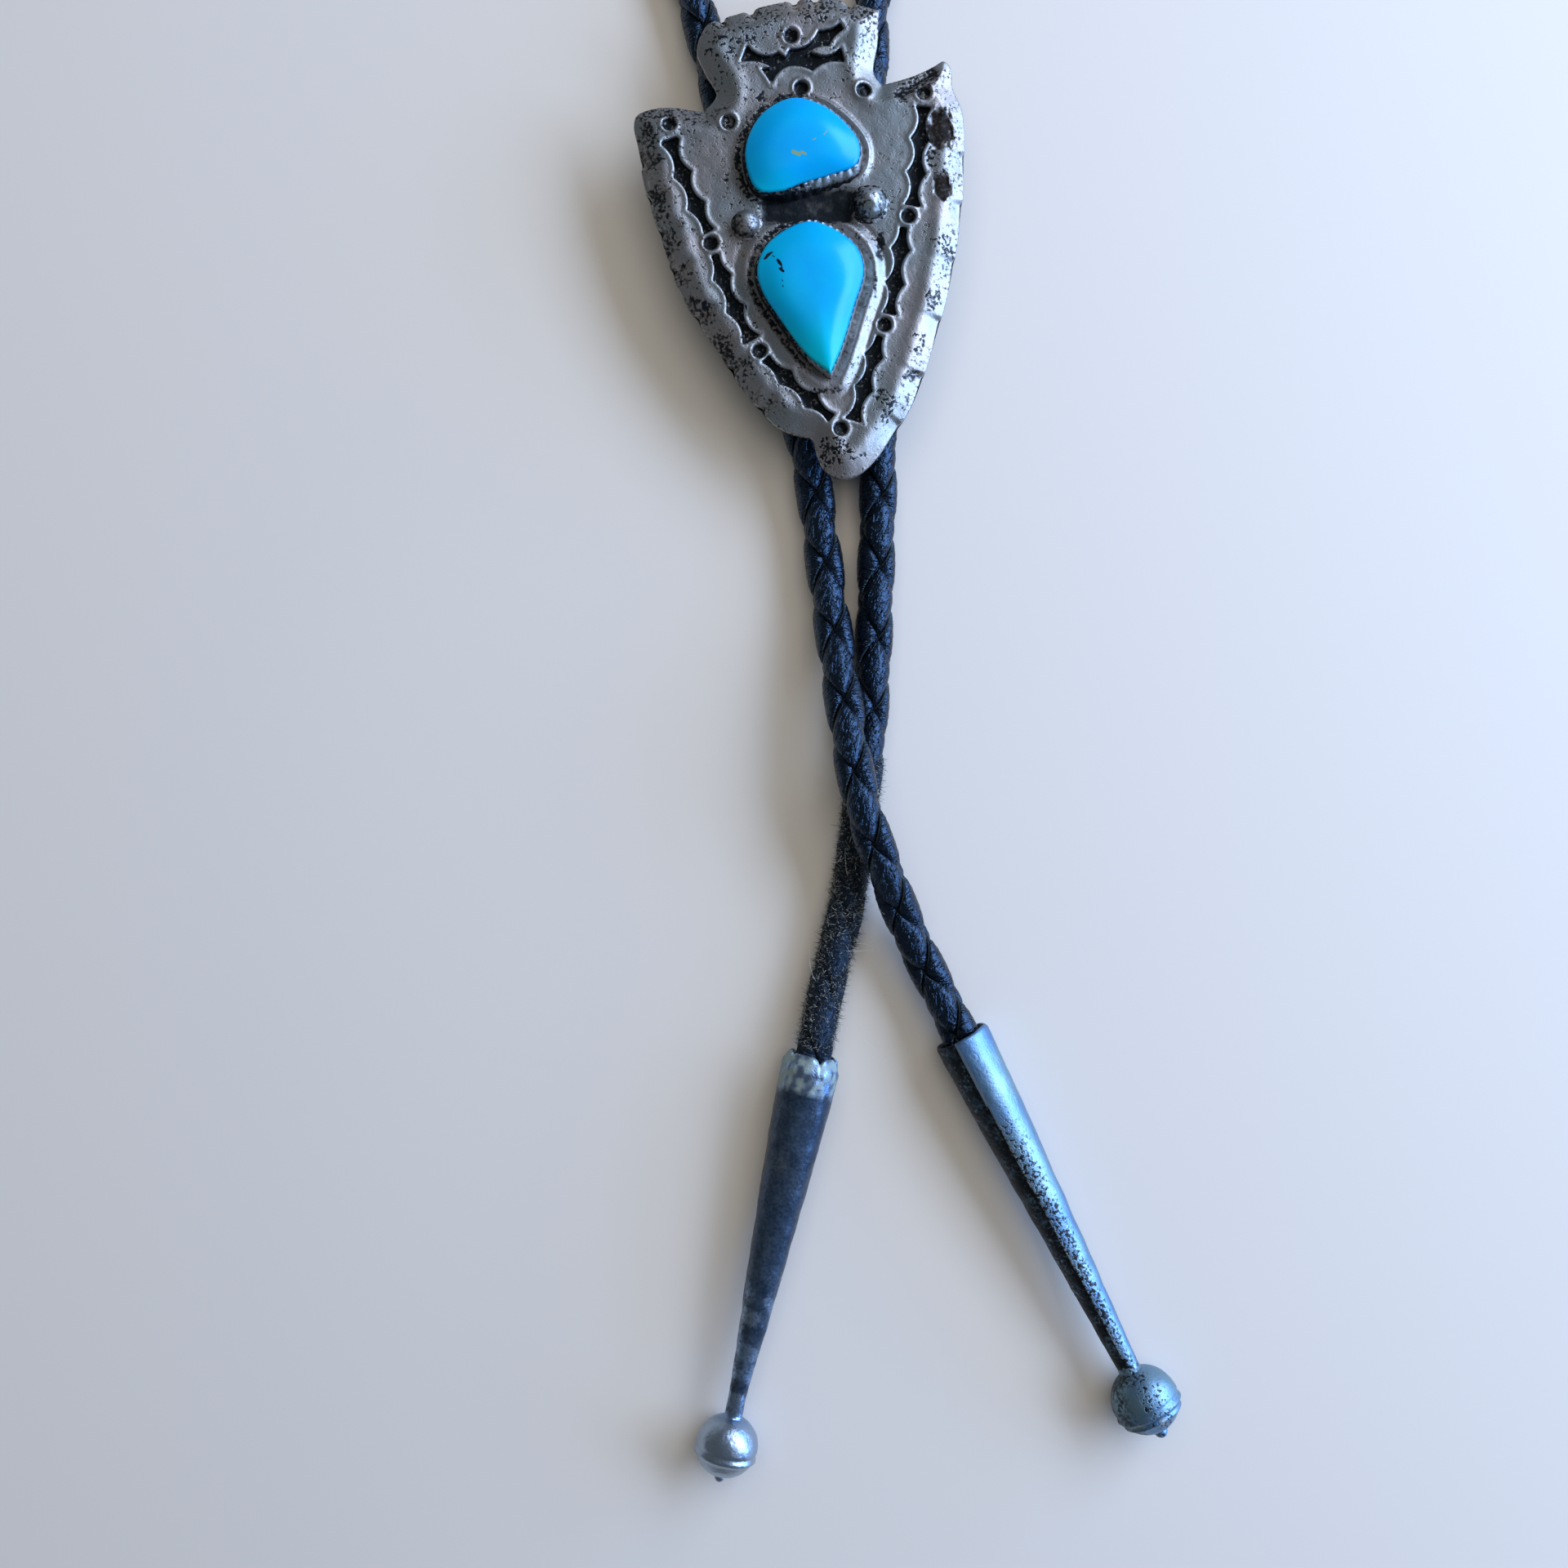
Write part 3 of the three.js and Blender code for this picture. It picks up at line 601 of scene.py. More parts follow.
def silver(name, clean, warm, black, crust, mottle, roughness):
    made, tree, shader = blank_material(name)
    place = node(tree, "TexCoord").outputs["Object"]
    fine = node(tree, "TexNoise", {"Vector": place, "Scale": 1 / (FRECKLE * MM), "Detail": 3.0})
    cloud = {"Vector": place, "Scale": 1 / (TARNISH_CLOUD * MM), "Detail": 4.0}
    patchy = node(tree, "TexNoise", cloud)
    broad = node(tree, "TexNoise", {"Vector": place, "Scale": 1 / (TONE_CLOUD * MM), "Detail": 2.0})
    finish = node(tree, "Attribute", attribute_name="finish")
    marks = node(tree, "SeparateColor", {"Color": finish}).outputs
    freckle = node(tree, "Math", {0: fine, 1: 7.0, 2: -3.3}, operation="MULTIPLY_ADD")
    tarnish = {0: freckle, 1: marks["Green"], 2: marks["Red"]}
    freckled = node(tree, "Math", tarnish, operation="MULTIPLY_ADD")
    mottled = node(tree, "Math", {0: patchy, 1: mottle, 2: -0.5 * mottle}, operation="MULTIPLY_ADD")
    dark = node(tree, "Math", {0: freckled, 1: mottled}, operation="ADD")
    # The black mark holds blackening and, on some pieces, painted shade.
    sharp = {"Value": dark, "From Min": 0.1, "From Max": 0.85}
    blackened = node(tree, "MapRange", sharp, interpolation_type="SMOOTHSTEP")
    colour = node(tree, "ValToRGB", {"Fac": broad}, [(0.35, clean), (0.65, warm)])
    for share, over in (
        (finish.outputs["Alpha"], RUBBED_BRIGHT_AND_HIGHLIGHT),
        (blackened, black),
        (marks["Blue"], crust),
    ):
        laid = {"Factor": share, "A": colour, "B": linear(over)}
        colour = node(tree, "Mix", laid, data_type="RGBA")
    covered = node(tree, "Math", {0: blackened, 1: marks["Blue"]}, operation="ADD")
    metallic = node(tree, "MapRange", {"Value": covered, "To Min": 1.0, "To Max": 0.45})
    dullness = node(tree, "MapRange", {"Value": marks["Blue"], "To Min": roughness, "To Max": 0.85})
    relief = node(tree, "Math", {0: blackened, 1: -0.9, 2: fine}, operation="MULTIPLY_ADD")
    relief = node(tree, "Math", {0: relief, 1: patchy}, operation="ADD")
    bump = node(tree, "Bump", {"Height": relief, "Strength": 0.5, "Distance": SILVER_RELIEF * MM})
    look = {"Base Color": colour, "Metallic": metallic, "Roughness": dullness, "Normal": bump}
    feed(tree, shader, look)
    return made


tip_silver = silver("blackened_tip_silver", "#6f93b6", "#85a3b0", "#0b1218", "#76837f", 0.8, 0.48)
steel_blue_silver = silver(
    "smooth_blackened_silver", "#7d9cc2", "#8d9fb2", "#13273b", "#97a8a0", 0.25, 0.36
)

right_tip = turned("right_tip", tip_profile(RIGHT_TIP), TIP_SIDES)
spot, at, angle, radius = round_its_line(right_tip)
outside = (radius > 3.3) | (at > 6.3)
on_cone = outside & (at < 47.0)
# The lap: the sheet's edge lies on top of its other edge, so the radius steps along one line.
SEAM_ANGLE = 1.95
LAP_STEP = 0.34
past_seam = np.mod(angle - SEAM_ANGLE + 0.004 * at, 2 * math.pi) / (2 * math.pi)
lap = LAP_STEP * past_seam**9
lap -= 0.1 * bump_at(past_seam, 0.0, 0.015)
dents = 0.10 * rough(spot, 3.1, 1) + 0.05 * rough(spot, 1.1, 2)
grow = np.where(on_cone, lap * np.clip((47 - at) / 12, 0.25, 1), 0) + dents * outside * 0.8
swell(spot, radius, grow)
spot[:, 2] += np.where(at < 0.6, 0.35 * rough(spot, 2.0, 8), 0)
move_to(right_tip, spot)
left_side = 1 - smooth_step(past_seam, 0.24, 0.36)
beside_seam = smooth_step(past_seam, 0.80, 0.95) * smooth_step(at, 4, 22)
pits = smooth_step(rough(spot, 2.4, 5), -0.1, 0.45)
# Blacker from the seam round the cone's left side, and a little beside the seam on its right.
black = (0.75 * left_side + 0.3 * beside_seam) * (at < 47) + 0.35 * bump_at(at, 47, 1.2)
# Painted shade: the left half of the ball is darkened, the side turned away from the light.
black += np.where(at > 48, 0.55 * smooth_step(np.cos(angle), 0.0, -0.9), 0)
black = np.where(outside, black, 0.9)
speckle = 0.12 + 0.25 * pits * left_side + 0.55 * beside_seam
pale = np.where(at > 52.6, 0.55 * smooth_step(rough(spot, 1.6, 7), 0.1, 0.5), 0)
pale = pale + 0.8 * bump_at(past_seam, 0.995, 0.008) * on_cone
set_finish(right_tip, black, speckle, 0, pale)
lay_tip(right_tip, RIGHT_MOUTH, RIGHT_BALL)

left_tip = turned("left_tip", tip_profile(LEFT_TIP), TIP_SIDES)
spot, at, angle, radius = round_its_line(left_tip)
outside = (radius > 3.45) | (at > 6.3)
# The mouth is crimped inwards in uneven tabs with a split between each two.
TABS = 7
tab = np.abs(np.sin(TABS / 2 * (angle - 0.5 + 0.25 * np.sin(2 * angle))))
near_mouth = smooth_step(at, 2.2, 0.0)
dents = 0.09 * rough(spot, 2.8, 11) + 0.05 * rough(spot, 1.0, 12)
crust = 0.14 * rough(spot, 0.7, 13) * smooth_step(at, 5.5, 3.0)
grow = (dents + crust) * outside - 0.75 * near_mouth * (0.45 + 0.55 * tab)
swell(spot, radius, grow)
spot[:, 2] += near_mouth * (0.1 + 0.9 * (1 - tab) ** 4)
move_to(left_tip, spot)
band = smooth_step(at + 0.9 * rough(spot, 1.6, 16), 5.4, 4.2)
worn_low = smooth_step(at, 26, 36) * smooth_step(rough(spot, 2.2, 14), -0.25, 0.35) * (at < 47)
black = np.where(at < 47, 0.7 - 0.42 * worn_low, 0.12)
black = black * (1 - band) + 0.12 * band
black = np.where(outside, black, 0.95)
speckle = 0.04 + 0.25 * band + 0.22 * worn_low
crust = band * smooth_step(rough(spot, 0.9, 15), -0.3, 0.3)
pale = 0.7 * bump_at(at, 14.5, 1.3) * bump_at(angle, 1.9, 0.35)
pale += 0.35 * smooth_step(at, 47.5, 48.5)
set_finish(left_tip, black, speckle, 0.85 * crust, pale)
lay_tip(left_tip, LEFT_MOUTH, LEFT_BALL)

for tip, solid, look in (
    (right_tip, "tip_right", tip_silver),
    (left_tip, "tip_left", steel_blue_silver),
):
    join_frame(tip, look, solid)

# ---------------------------------------------------------------- the clip
# A plain piece behind the slide, out of sight: a flat base with two rolled tubes that the cord
# is threaded through, in satin nickel.

CLIP_BASE = 0.9
TUBE_OUTER = 3.6
TUBE_INNER = 2.9


def modify(piece, kind, **settings):
    """Adds a modifier to a piece and applies it."""
    select_only(piece)
    bpy.ops.object.modifier_add(type=kind)
    added = piece.modifiers[-1]
    for key, value in settings.items():
        setattr(added, key, value)
    bpy.ops.object.modifier_apply(modifier=added.name)


select_only()
clip_parts = []
for tunnel in (LEFT_TUNNEL, RIGHT_TUNNEL):
    top = Vector((*tunnel[0], CORD_HEIGHT))
    bottom = Vector((*tunnel[1], CORD_HEIGHT))
    length = (top - bottom).length
    lip = 0.25
    profile = [(TUBE_INNER, lip), (TUBE_INNER + lip, 0), (TUBE_OUTER - lip, 0), (TUBE_OUTER, lip)]
    profile += [(TUBE_OUTER, length - lip), (TUBE_OUTER - lip, length), (TUBE_INNER + lip, length)]
    profile += [(TUBE_INNER, length - lip), (TUBE_INNER, lip)]
    tube = turned("clip_tube", profile, 64)
    turn = (top - bottom).to_track_quat("Z", "X").to_matrix().to_4x4()
    turn.translation = bottom * MM
    tube.data.transform(turn)
    clip_parts.append(tube)
bpy.ops.mesh.primitive_cube_add(size=1)
base = bpy.context.object
corners = np.sign(places_of(base))
middle_x = np.where(corners[:, 1] > 0, 1.15, 3.0)
half_x = np.where(corners[:, 1] > 0, 8.15, 6.6)
move_to(
    base,
    np.stack(
        [
            middle_x + half_x * corners[:, 0],
            6.9 * corners[:, 1],
            (CLIP_BASE / 2) * (1 + corners[:, 2]) + 0.02,
        ],
        axis=1,
    ),
)
modify(base, "BEVEL", width=0.2 * MM, segments=2)
for part in clip_parts:
    part.select_set(True)
bpy.ops.object.join()
clip = bpy.context.object
clip.name = "clip"


# Nickel plate over pressed steel, satin: soft reflections and a faint brushed grain.
BRUSH_GRAIN = 0.25


def nickel():
    made, tree, shader = blank_material("satin_nickel_plate")
    place = node(tree, "TexCoord").outputs["Object"]
    drawn_out = node(tree, "Mapping", {"Vector": place, "Scale": (1, 0.06, 1)})
    grain = {"Vector": drawn_out, "Scale": 1 / (BRUSH_GRAIN * MM), "Detail": 2.0}
    brushed = node(tree, "TexNoise", grain)
    satin = node(tree, "MapRange", {"Value": brushed, "To Min": 0.28, "To Max": 0.48})
    tone = node(tree, "ValToRGB", {"Fac": brushed}, [(0.3, "#8e8c86"), (0.7, "#b5b2aa")])
    bump = node(tree, "Bump", {"Height": brushed, "Strength": 0.3, "Distance": 0.03 * MM})
    feed(tree, shader, {"Base Color": tone, "Roughness": satin, "Normal": bump, "Metallic": 1.0})
    return made


join_frame(clip, nickel(), "back_clip")

# ---------------------------------------------------------------- the slide
# An arrowhead of two silver sheets sweated together: the upper one is pierced with scalloped
# channels that show the blackened lower one, punched with dots, and hammered down at its rim.

PLATE_BACK = 7.5
FIELD = 9.8
CHANNEL_DEPTH = 1.0
VOXEL = 0.15
FACES_KEPT = 0.42
CORNER = "corner"
ARROWHEAD = [
    (-12.6, 25.1), (-11.4, 26.9), (-8.0, 28.0), (-3.3, 29.3), (3.0, 30.1), (9.9, 28.5, CORNER),
    (9.7, 24.5), (9.2, 20.6), (10.2, 19.1, CORNER), (14.0, 20.2), (16.8, 21.5), (18.0, 22.1),
    (18.9, 21.2), (19.1, 18.8), (20.3, 15.9), (20.6, 12.0), (20.6, 7.5), (20.0, 1.0), (18.8, -6.0),
    (16.9, -13.0), (14.3, -20.5), (10.9, -26.0), (7.6, -29.6), (5.3, -30.3), (2.9, -29.0),
    (1.5, -25.2, CORNER), (-2.5, -24.0), (-6.8, -19.6), (-10.6, -13.9), (-15.1, -6.9), (-17.7, 0.5),
    (-19.7, 6.8), (-20.3, 11.0), (-20.9, 13.9), (-20.5, 15.3), (-17.0, 16.3), (-12.1, 15.7, CORNER),
    (-10.5, 17.9), (-11.9, 20.6), (-13.0, 23.2),
]

# Channels: the ends and the middle of each, and where in a scallop it begins.
SCALLOP_PITCH = 4.3
WIDEST = 1.25
NARROWEST = 0.45
CHANNELS = [
    {"from": (-16.4, 12.0), "bend": (-14.0, 5.8), "to": (-11.4, 0.4), "start": 0.9},
    {"from": (-10.7, -2.4), "bend": (-8.8, -7.8), "to": (-6.1, -13.2), "start": 0.3},
    {"from": (-4.4, -15.4), "bend": (-0.8, -18.8), "to": (3.9, -22.9), "start": 0.2},
    {"from": (15.4, 16.1), "bend": (14.7, 9.6), "to": (14.0, 3.6), "start": 0.05},
    {"from": (12.9, 1.0), "bend": (12.1, -4.2), "to": (11.1, -9.9), "start": 0.35},
    {"from": (9.9, -12.6), "bend": (8.4, -17.6), "to": (6.6, -23.2), "start": 0.4},
    {"from": (-7.1, 22.7), "bend": (-1.2, 21.6), "to": (5.3, 22.5), "start": 0.0},
    {"from": (-4.3, 19.9), "bend": (-0.2, 22.6), "to": (5.2, 26.1), "start": 0.0},
]
DOTS = [
    (-1.2, 24.9), (0.1, 18.4), (7.9, 18.1), (-9.0, 14.1), (15.4, 17.8), (-16.4, 13.9),
    (-11.2, -1.0), (13.5, 2.4), (10.5, -11.2), (-5.1, -14.5), (5.0, -24.2),
]
DOT_RADIUS = 0.95
UPPER_STONE = [
    (-6.9, 9.2), (-6.1, 12.6), (-4.1, 15.1), (-0.9, 16.5), (2.6, 15.6), (5.6, 13.3), (7.3, 10.7),
    (6.9, 8.3), (3.2, 6.8), (0.2, 5.9), (-2.6, 4.9), (-5.4, 5.1),
]
LOWER_STONE = [
    (-5.4, -4.9), (-4.6, -2.3), (-2.3, -0.1), (1.2, 1.2), (4.4, 0.1), (7.0, -2.1), (7.8, -5.0),
    (6.6, -9.4), (5.0, -14.6), (3.7, -17.7, CORNER), (0.8, -15.4), (-2.6, -10.9), (-4.8, -7.4),
]

# Cuts of a flat chisel across the rim: place on the edge, and the way it points inwards.
RIGHT_CUTS = [
    (20.6, 10.6, 180), (20.4, 4.5, 180), (19.4, -2.7, 172), (17.5, -10.1, 165), (15.2, -17.1, 158),
    (12.6, -23.3, 145),
]
LEFT_CUTS = [
    (-20.4, 9.3, 0), (-19.3, 4.6, 10), (-17.6, 0.4, 18), (-16.0, -4.4, 25), (-13.0, -10.3, 32),
    (-8.8, -16.9, 38), (-5.0, -21.8, 45),
]
TOP_CUTS = [
    (-10.2, 27.6, 305), (-6.3, 28.6, 285), (-0.8, 30.0, 275), (1.9, 30.2, 265), (6.2, 29.9, 265),
]


def outline_of(rows, spacing):
    """Even points round a closed outline that is smooth except at its corners."""
    corners = [i for i, row in enumerate(rows) if CORNER in row]
    flat = [(row[0], row[1], 0) for row in rows]
    if not corners:
        return smooth_line(flat, spacing, closed=True)[1][:-1, :2]
    ordered = flat[corners[0] :] + flat[: corners[0]] + [flat[corners[0]]]
    stops = [i - corners[0] for i in corners] + [len(flat)]
    runs = [smooth_line(ordered[a : b + 1], spacing)[1][:-1] for a, b in zip(stops[:-1], stops[1:])]
    return np.vstack(runs)[:, :2]


def channel_outline(row, spacing):
    """Both edges of a channel: rows of lobes that meet in cusps."""
    ends = np.array([row["from"], row["to"]])
    bend = 2 * np.array(row["bend"]) - ends.mean(axis=0)
    part = np.linspace(0, 1, 200)[:, None]
    middle = (1 - part) ** 2 * ends[0] + 2 * part * (1 - part) * bend + part**2 * ends[1]
    along = np.concatenate([[0], np.cumsum(np.linalg.norm(np.diff(middle, axis=0), axis=1))])
    even = np.linspace(0, along[-1], int(along[-1] / spacing))
    line = np.stack([np.interp(even, along, middle[:, i]) for i in range(2)], axis=1)
    ahead = np.gradient(line, axis=0)
    ahead /= np.linalg.norm(ahead, axis=1)[:, None]
    side = np.stack([-ahead[:, 1], ahead[:, 0]], axis=1)
    turns = row["start"] + even / SCALLOP_PITCH
    half = WIDEST - (WIDEST - NARROWEST) * np.abs(np.sin(math.pi * turns)) ** 0.8
    return np.vstack([line - side * half[:, None], (line + side * half[:, None])[::-1]])


def slab(name, outline, low, high):
    """A flat plate: a ring of points laid on an outline, filled and extruded upwards."""
    select_only()
    bpy.ops.mesh.primitive_circle_add(vertices=len(outline), radius=MM, fill_type="NGON")
    made = bpy.context.object
    made.name = name
    move_to(made, np.column_stack([outline, np.full(len(outline), low)]))
    bpy.ops.object.mode_set(mode="EDIT")
    bpy.ops.mesh.select_all(action="SELECT")
    bpy.ops.mesh.extrude_region_move(TRANSFORM_OT_translate={"value": (0, 0, (high - low) * MM)})
    bpy.ops.mesh.select_all(action="SELECT")
    bpy.ops.mesh.normals_make_consistent(inside=False)
    bpy.ops.object.mode_set(mode="OBJECT")
    return made


def cut_out(piece, tool):
    """Cuts a tool's shape out of a piece, and clears the tool away."""
    modify(piece, "BOOLEAN", operation="DIFFERENCE", solver="EXACT", object=tool)
    bpy.data.objects.remove(tool)


def distance(places, outline, reach):
    """How far each place is from a closed outline, seen from above, up to the given reach."""
    found = np.full(len(places), float(reach))
    x, y = places[:, 0], places[:, 1]
    for (ax, ay), (bx, by) in zip(outline, np.roll(outline, -1, axis=0)):
        near = (x > min(ax, bx) - reach) & (x < max(ax, bx) + reach)
        near &= (y > min(ay, by) - reach) & (y < max(ay, by) + reach)
        if not near.any():
            continue
        px, py = x[near] - ax, y[near] - ay
        run = np.array([bx - ax, by - ay])
        part = np.clip((px * run[0] + py * run[1]) / max(run @ run, 1e-12), 0, 1)
        away = np.hypot(px - part * run[0], py - part * run[1])
        found[near] = np.minimum(found[near], away)
    return found


plate_outline = outline_of(ARROWHEAD, 0.3)
upper_outline = outline_of(UPPER_STONE, 0.16)
lower_outline = outline_of(LOWER_STONE, 0.16)
channel_outlines = [channel_outline(row, 0.12) for row in CHANNELS]

slide = slab("slide", plate_outline, PLATE_BACK, FIELD)
for number, outline in enumerate(channel_outlines):
    cut_out(slide, slab(f"channel_{number}", outline, FIELD - CHANNEL_DEPTH, FIELD + 1))
modify(slide, "REMESH", mode="VOXEL", voxel_size=VOXEL * MM)


def slide_places():
    """Each vertex of the slide, and how far it is from the rim, a channel and the two stones."""
    spot = places_of(slide)
    channel = np.full(len(spot), 9.0)
    for outline in channel_outlines:
        channel = np.minimum(channel, distance(spot, outline, 1.5))
    edge = distance(spot, plate_outline, 6.0)
    return spot, edge, channel, distance(spot, upper_outline, 5.0), distance(spot, lower_outline, 5.0)


spot, edge, channel, to_upper, to_lower = slide_places()
x, y = spot[:, 0], spot[:, 1]
top = spot[:, 2] > FIELD - 0.3

rise = np.zeros(len(spot))
inward = np.zeros((len(spot), 2))


def along_cut(cut):
    """For a chisel cut: the way it points in, how far in each place is, and how far beside it."""
    heading = math.radians(cut[2])
    way = np.array([math.cos(heading), math.sin(heading)])
    deep = (x - cut[0]) * way[0] + (y - cut[1]) * way[1]
    beside = (x - cut[0]) * way[1] - (y - cut[1]) * way[0]
    return way, deep, beside


# The rim: pressed down to its edge, with a low swelling inside it.
RIM_SWELL = 0.22
RIM_DROP = 1.15
CHISEL_DEPTH = {"right": 0.32, "left": 0.55, "top": 0.5}
rise += RIM_SWELL * bump_at(edge, 2.9, 0.9) * top
rise -= RIM_DROP * (1 - smooth_step(edge, -0.6, 2.6))
for cut in RIGHT_CUTS:
    way, deep, beside = along_cut(cut)
    below = -beside
    facet = smooth_step(below, -0.3, 0.5) * (1 - smooth_step(below, 0.5, 5.0))
    reach = smooth_step(deep, 4.0, 0.0)
    rise -= CHISEL_DEPTH["right"] * facet * reach
    inward += way * (0.25 * facet * smooth_step(edge, 1.4, 0.0) * smooth_step(deep, 3, 1))[:, None]
for cut in LEFT_CUTS:
    way, deep, beside = along_cut(cut)
    notch = bump_at(beside, 0.0, 0.62)
    rise -= CHISEL_DEPTH["left"] * notch * smooth_step(deep, 3.4, 1.2)
    rise += 0.25 * bump_at(beside, -1.7, 0.9) * smooth_step(deep, 3.4, 1.2) * smooth_step(edge, 0.2, 1)
    inward += way * (0.45 * notch * smooth_step(edge, 1.4, 0.0) * smooth_step(deep, 3, 1))[:, None]
for cut in TOP_CUTS:
    way, deep, beside = along_cut(cut)
    notch = bump_at(beside, 0.0, 0.5)
    rise -= CHISEL_DEPTH["top"] * notch * smooth_step(deep, 2.6, 0.8)
    inward += way * (0.5 * notch * smooth_step(edge, 1.2, 0.0) * smooth_step(deep, 3, 1))[:, None]

# The lips that piercing and burnishing raised along the channels, and round the punched dots.
CHANNEL_LIP = 0.12
DOT_LIP = 0.14
DOT_DEPTH = 0.72
rise += CHANNEL_LIP * bump_at(channel, 0.25, 0.3) * top
for dot_x, dot_y in DOTS:
    away = np.hypot(x - dot_x, y - dot_y)
    rise -= DOT_DEPTH * (1 - smooth_step(away, 0.62 * DOT_RADIUS, DOT_RADIUS)) * top
    rise += DOT_LIP * bump_at(away, DOT_RADIUS + 0.22, 0.2) * top
    rise += 0.05 * bump_at(away, 0.0, 0.35) * top

# The wide smooth flange round the lower setting, strongest on the right, and the burnished rim
# on the right of the upper one that runs down to the drop.
right_of_lower = smooth_step(x + 0.35 * (y + 8), -1.5, 3.5)
flange = 0.62 * bump_at(to_lower, 1.55, 0.75) * (0.4 + 0.6 * right_of_lower)
flange -= 0.16 * bump_at(to_lower, 2.9, 0.35) * (0.4 + 0.6 * right_of_lower)
rise += flange * top * (y < 1.5)
right_of_upper = smooth_step(x, 1.0, 4.0) * smooth_step(y, 5.5, 8.5)
rise += 0.42 * bump_at(to_upper, 1.15, 0.4) * (0.25 + 0.75 * right_of_upper) * top

# The hollow between the two settings.
between = smooth_step(3.4 - np.abs(x - 0.8) / 1.9, 0.0, 0.8) * smooth_step(2.6 - np.abs(y - 3.6), 0, 0.8)
rise -= 0.35 * between * top

# Deep pits eaten into the right rim, and the hollow along the right barb.
PITS = [
    {"x": 17.5, "y": 13.2, "wide": 1.75, "high": 2.7, "deep": 0.35},
    {"x": 17.7, "y": 6.2, "wide": 1.2, "high": 2.0, "deep": 0.3},
]
ragged = 0.45 * rough(spot, 0.8, 21)


def pit_mark(pit, unevenness, soft_from):
    """How far each place lies inside a pit, from 0 to 1."""
    inside = np.hypot((x - pit["x"]) / pit["wide"], (y - pit["y"]) / pit["high"]) + unevenness
    return 1 - smooth_step(inside, soft_from, 1.0)


for pit in PITS:
    rise -= pit["deep"] * pit_mark(pit, ragged, 0.75)

SCAR_FROM = np.array((11.9, 17.2))
SCAR_TO = np.array((17.2, 20.9))


def scar_mark(wide, start):
    """How far each place lies in the hollow along the right barb, from 0 to 1."""
    length = np.hypot(*(SCAR_TO - SCAR_FROM))
    way = (SCAR_TO - SCAR_FROM) / length
    along = (x - SCAR_FROM[0]) * way[0] + (y - SCAR_FROM[1]) * way[1]
    beside = (y - SCAR_FROM[1]) * way[0] - (x - SCAR_FROM[0]) * way[1]
    mark = bump_at(beside + 0.3 * ragged, 0.0, wide) * smooth_step(along, start, 0.6)
    return mark * (1 - smooth_step(along, length - 0.6, length + 0.2))


rise -= 0.35 * scar_mark(0.8, -0.3) * top

# Hammer marks all over.
rise += (0.09 * rough(spot, 3.6, 22) + 0.035 * rough(spot, 1.2, 23)) * smooth_step(spot[:, 2], 8.6, 9.4)

share = smooth_step(spot[:, 2], PLATE_BACK + 0.1, PLATE_BACK + 1.2)
spot[:, 2] += rise * share
spot[:, :2] += inward * (0.35 + 0.65 * share)[:, None]
move_to(slide, spot)
modify(slide, "DECIMATE", ratio=FACES_KEPT)
bpy.ops.object.shade_smooth()

# Where the silver is black: in the channels and hollows, and in the patches charted here, as
# place, half width, half height, how black and how freckled.
PATCHES = [
    (-10.0, 23.5, 2.4, 2.8, 0.1, 0.75),
    (-4.1, 27.0, 2.8, 1.7, 0.15, 0.8),
    (1.7, 27.8, 2.6, 1.6, 0.15, 0.8),
    (7.6, 27.6, 1.6, 1.3, 0.35, 0.5),
    (7.3, 23.0, 1.1, 3.0, 0.05, 0.5),
    (-6.5, 24.6, 1.4, 1.4, 0.4, 0.5),
    (-17.8, 15.3, 2.2, 1.0, 0.5, 0.4),
    (-19.4, 12.6, 1.0, 2.2, 0.5, 0.2),
    (-18.9, 9.6, 1.6, 1.6, 0.6, 0.15),
    (-17.8, 5.0, 1.7, 1.6, 0.7, 0.1),
    (-17.2, 1.5, 1.0, 1.4, 0.4, 0.3),
    (-16.0, -1.3, 1.7, 1.4, 0.45, 0.35),
    (-14.6, -4.8, 1.2, 1.6, 0.4, 0.4),
    (-13.0, -8.9, 1.7, 1.3, 0.65, 0.2),
    (-10.0, -13.4, 1.5, 1.5, 0.5, 0.4),
    (-7.2, -16.8, 1.4, 1.6, 0.3, 0.55),
    (-3.2, -21.6, 1.6, 1.2, 0.2, 0.5),
    (4.3, -27.1, 3.3, 2.1, 0.25, 1.0),
    (10.6, -21.4, 1.5, 2.4, 0.35, 0.6),
    (13.9, -17.4, 1.2, 0.8, 0.6, 0.4),
    (14.8, -13.4, 1.1, 1.7, 0.1, 0.7),
    (16.6, -8.1, 1.2, 1.4, 0.4, 0.5),
    (18.0, -1.2, 1.2, 1.9, 0.1, 0.8),
    (16.4, 9.6, 0.8, 1.6, 0.5, 0.5),
    (9.9, -1.4, 0.55, 2.3, 0.7, 0.3),
    (9.3, -6.4, 0.3, 1.6, 0.5, 0.3),
    (-9.2, 6.7, 0.8, 1.4, 0.3, 0.5),
    (-7.6, -1.5, 0.8, 1.2, 0.3, 0.4),
    (-4.8, 16.9, 0.5, 1.1, 0.6, 0.2),
    (-12.5, 9.0, 1.6, 2.6, 0.0, 0.3),
    (3.2, -19.5, 2.4, 0.6, 0.55, 0.3),
]
spot, edge, channel, to_upper, to_lower = slide_places()
x, y, z = spot.T
ragged = 0.5 * rough(spot, 0.9, 31)
black = np.zeros(len(spot))
speckle = 0.36 + 0.25 * rough(spot, 5.0, 36) + 0.1 * smooth_step(-x, -4, 6)
for patch in PATCHES:
    inside = np.hypot((x - patch[0]) / patch[2], (y - patch[1]) / patch[3]) + ragged
    mark = 1 - smooth_step(inside, 0.6, 1.15)
    black = np.maximum(black, patch[4] * mark)
    speckle = np.maximum(speckle, patch[5] * mark)
in_channel = smooth_step(FIELD - z, 0.35, 0.7) * (edge > 1.6)
between = smooth_step(3.4 - np.abs(x - 0.8) / 1.9, 0.0, 0.6) * smooth_step(2.4 - np.abs(y - 3.6), 0, 0.7)
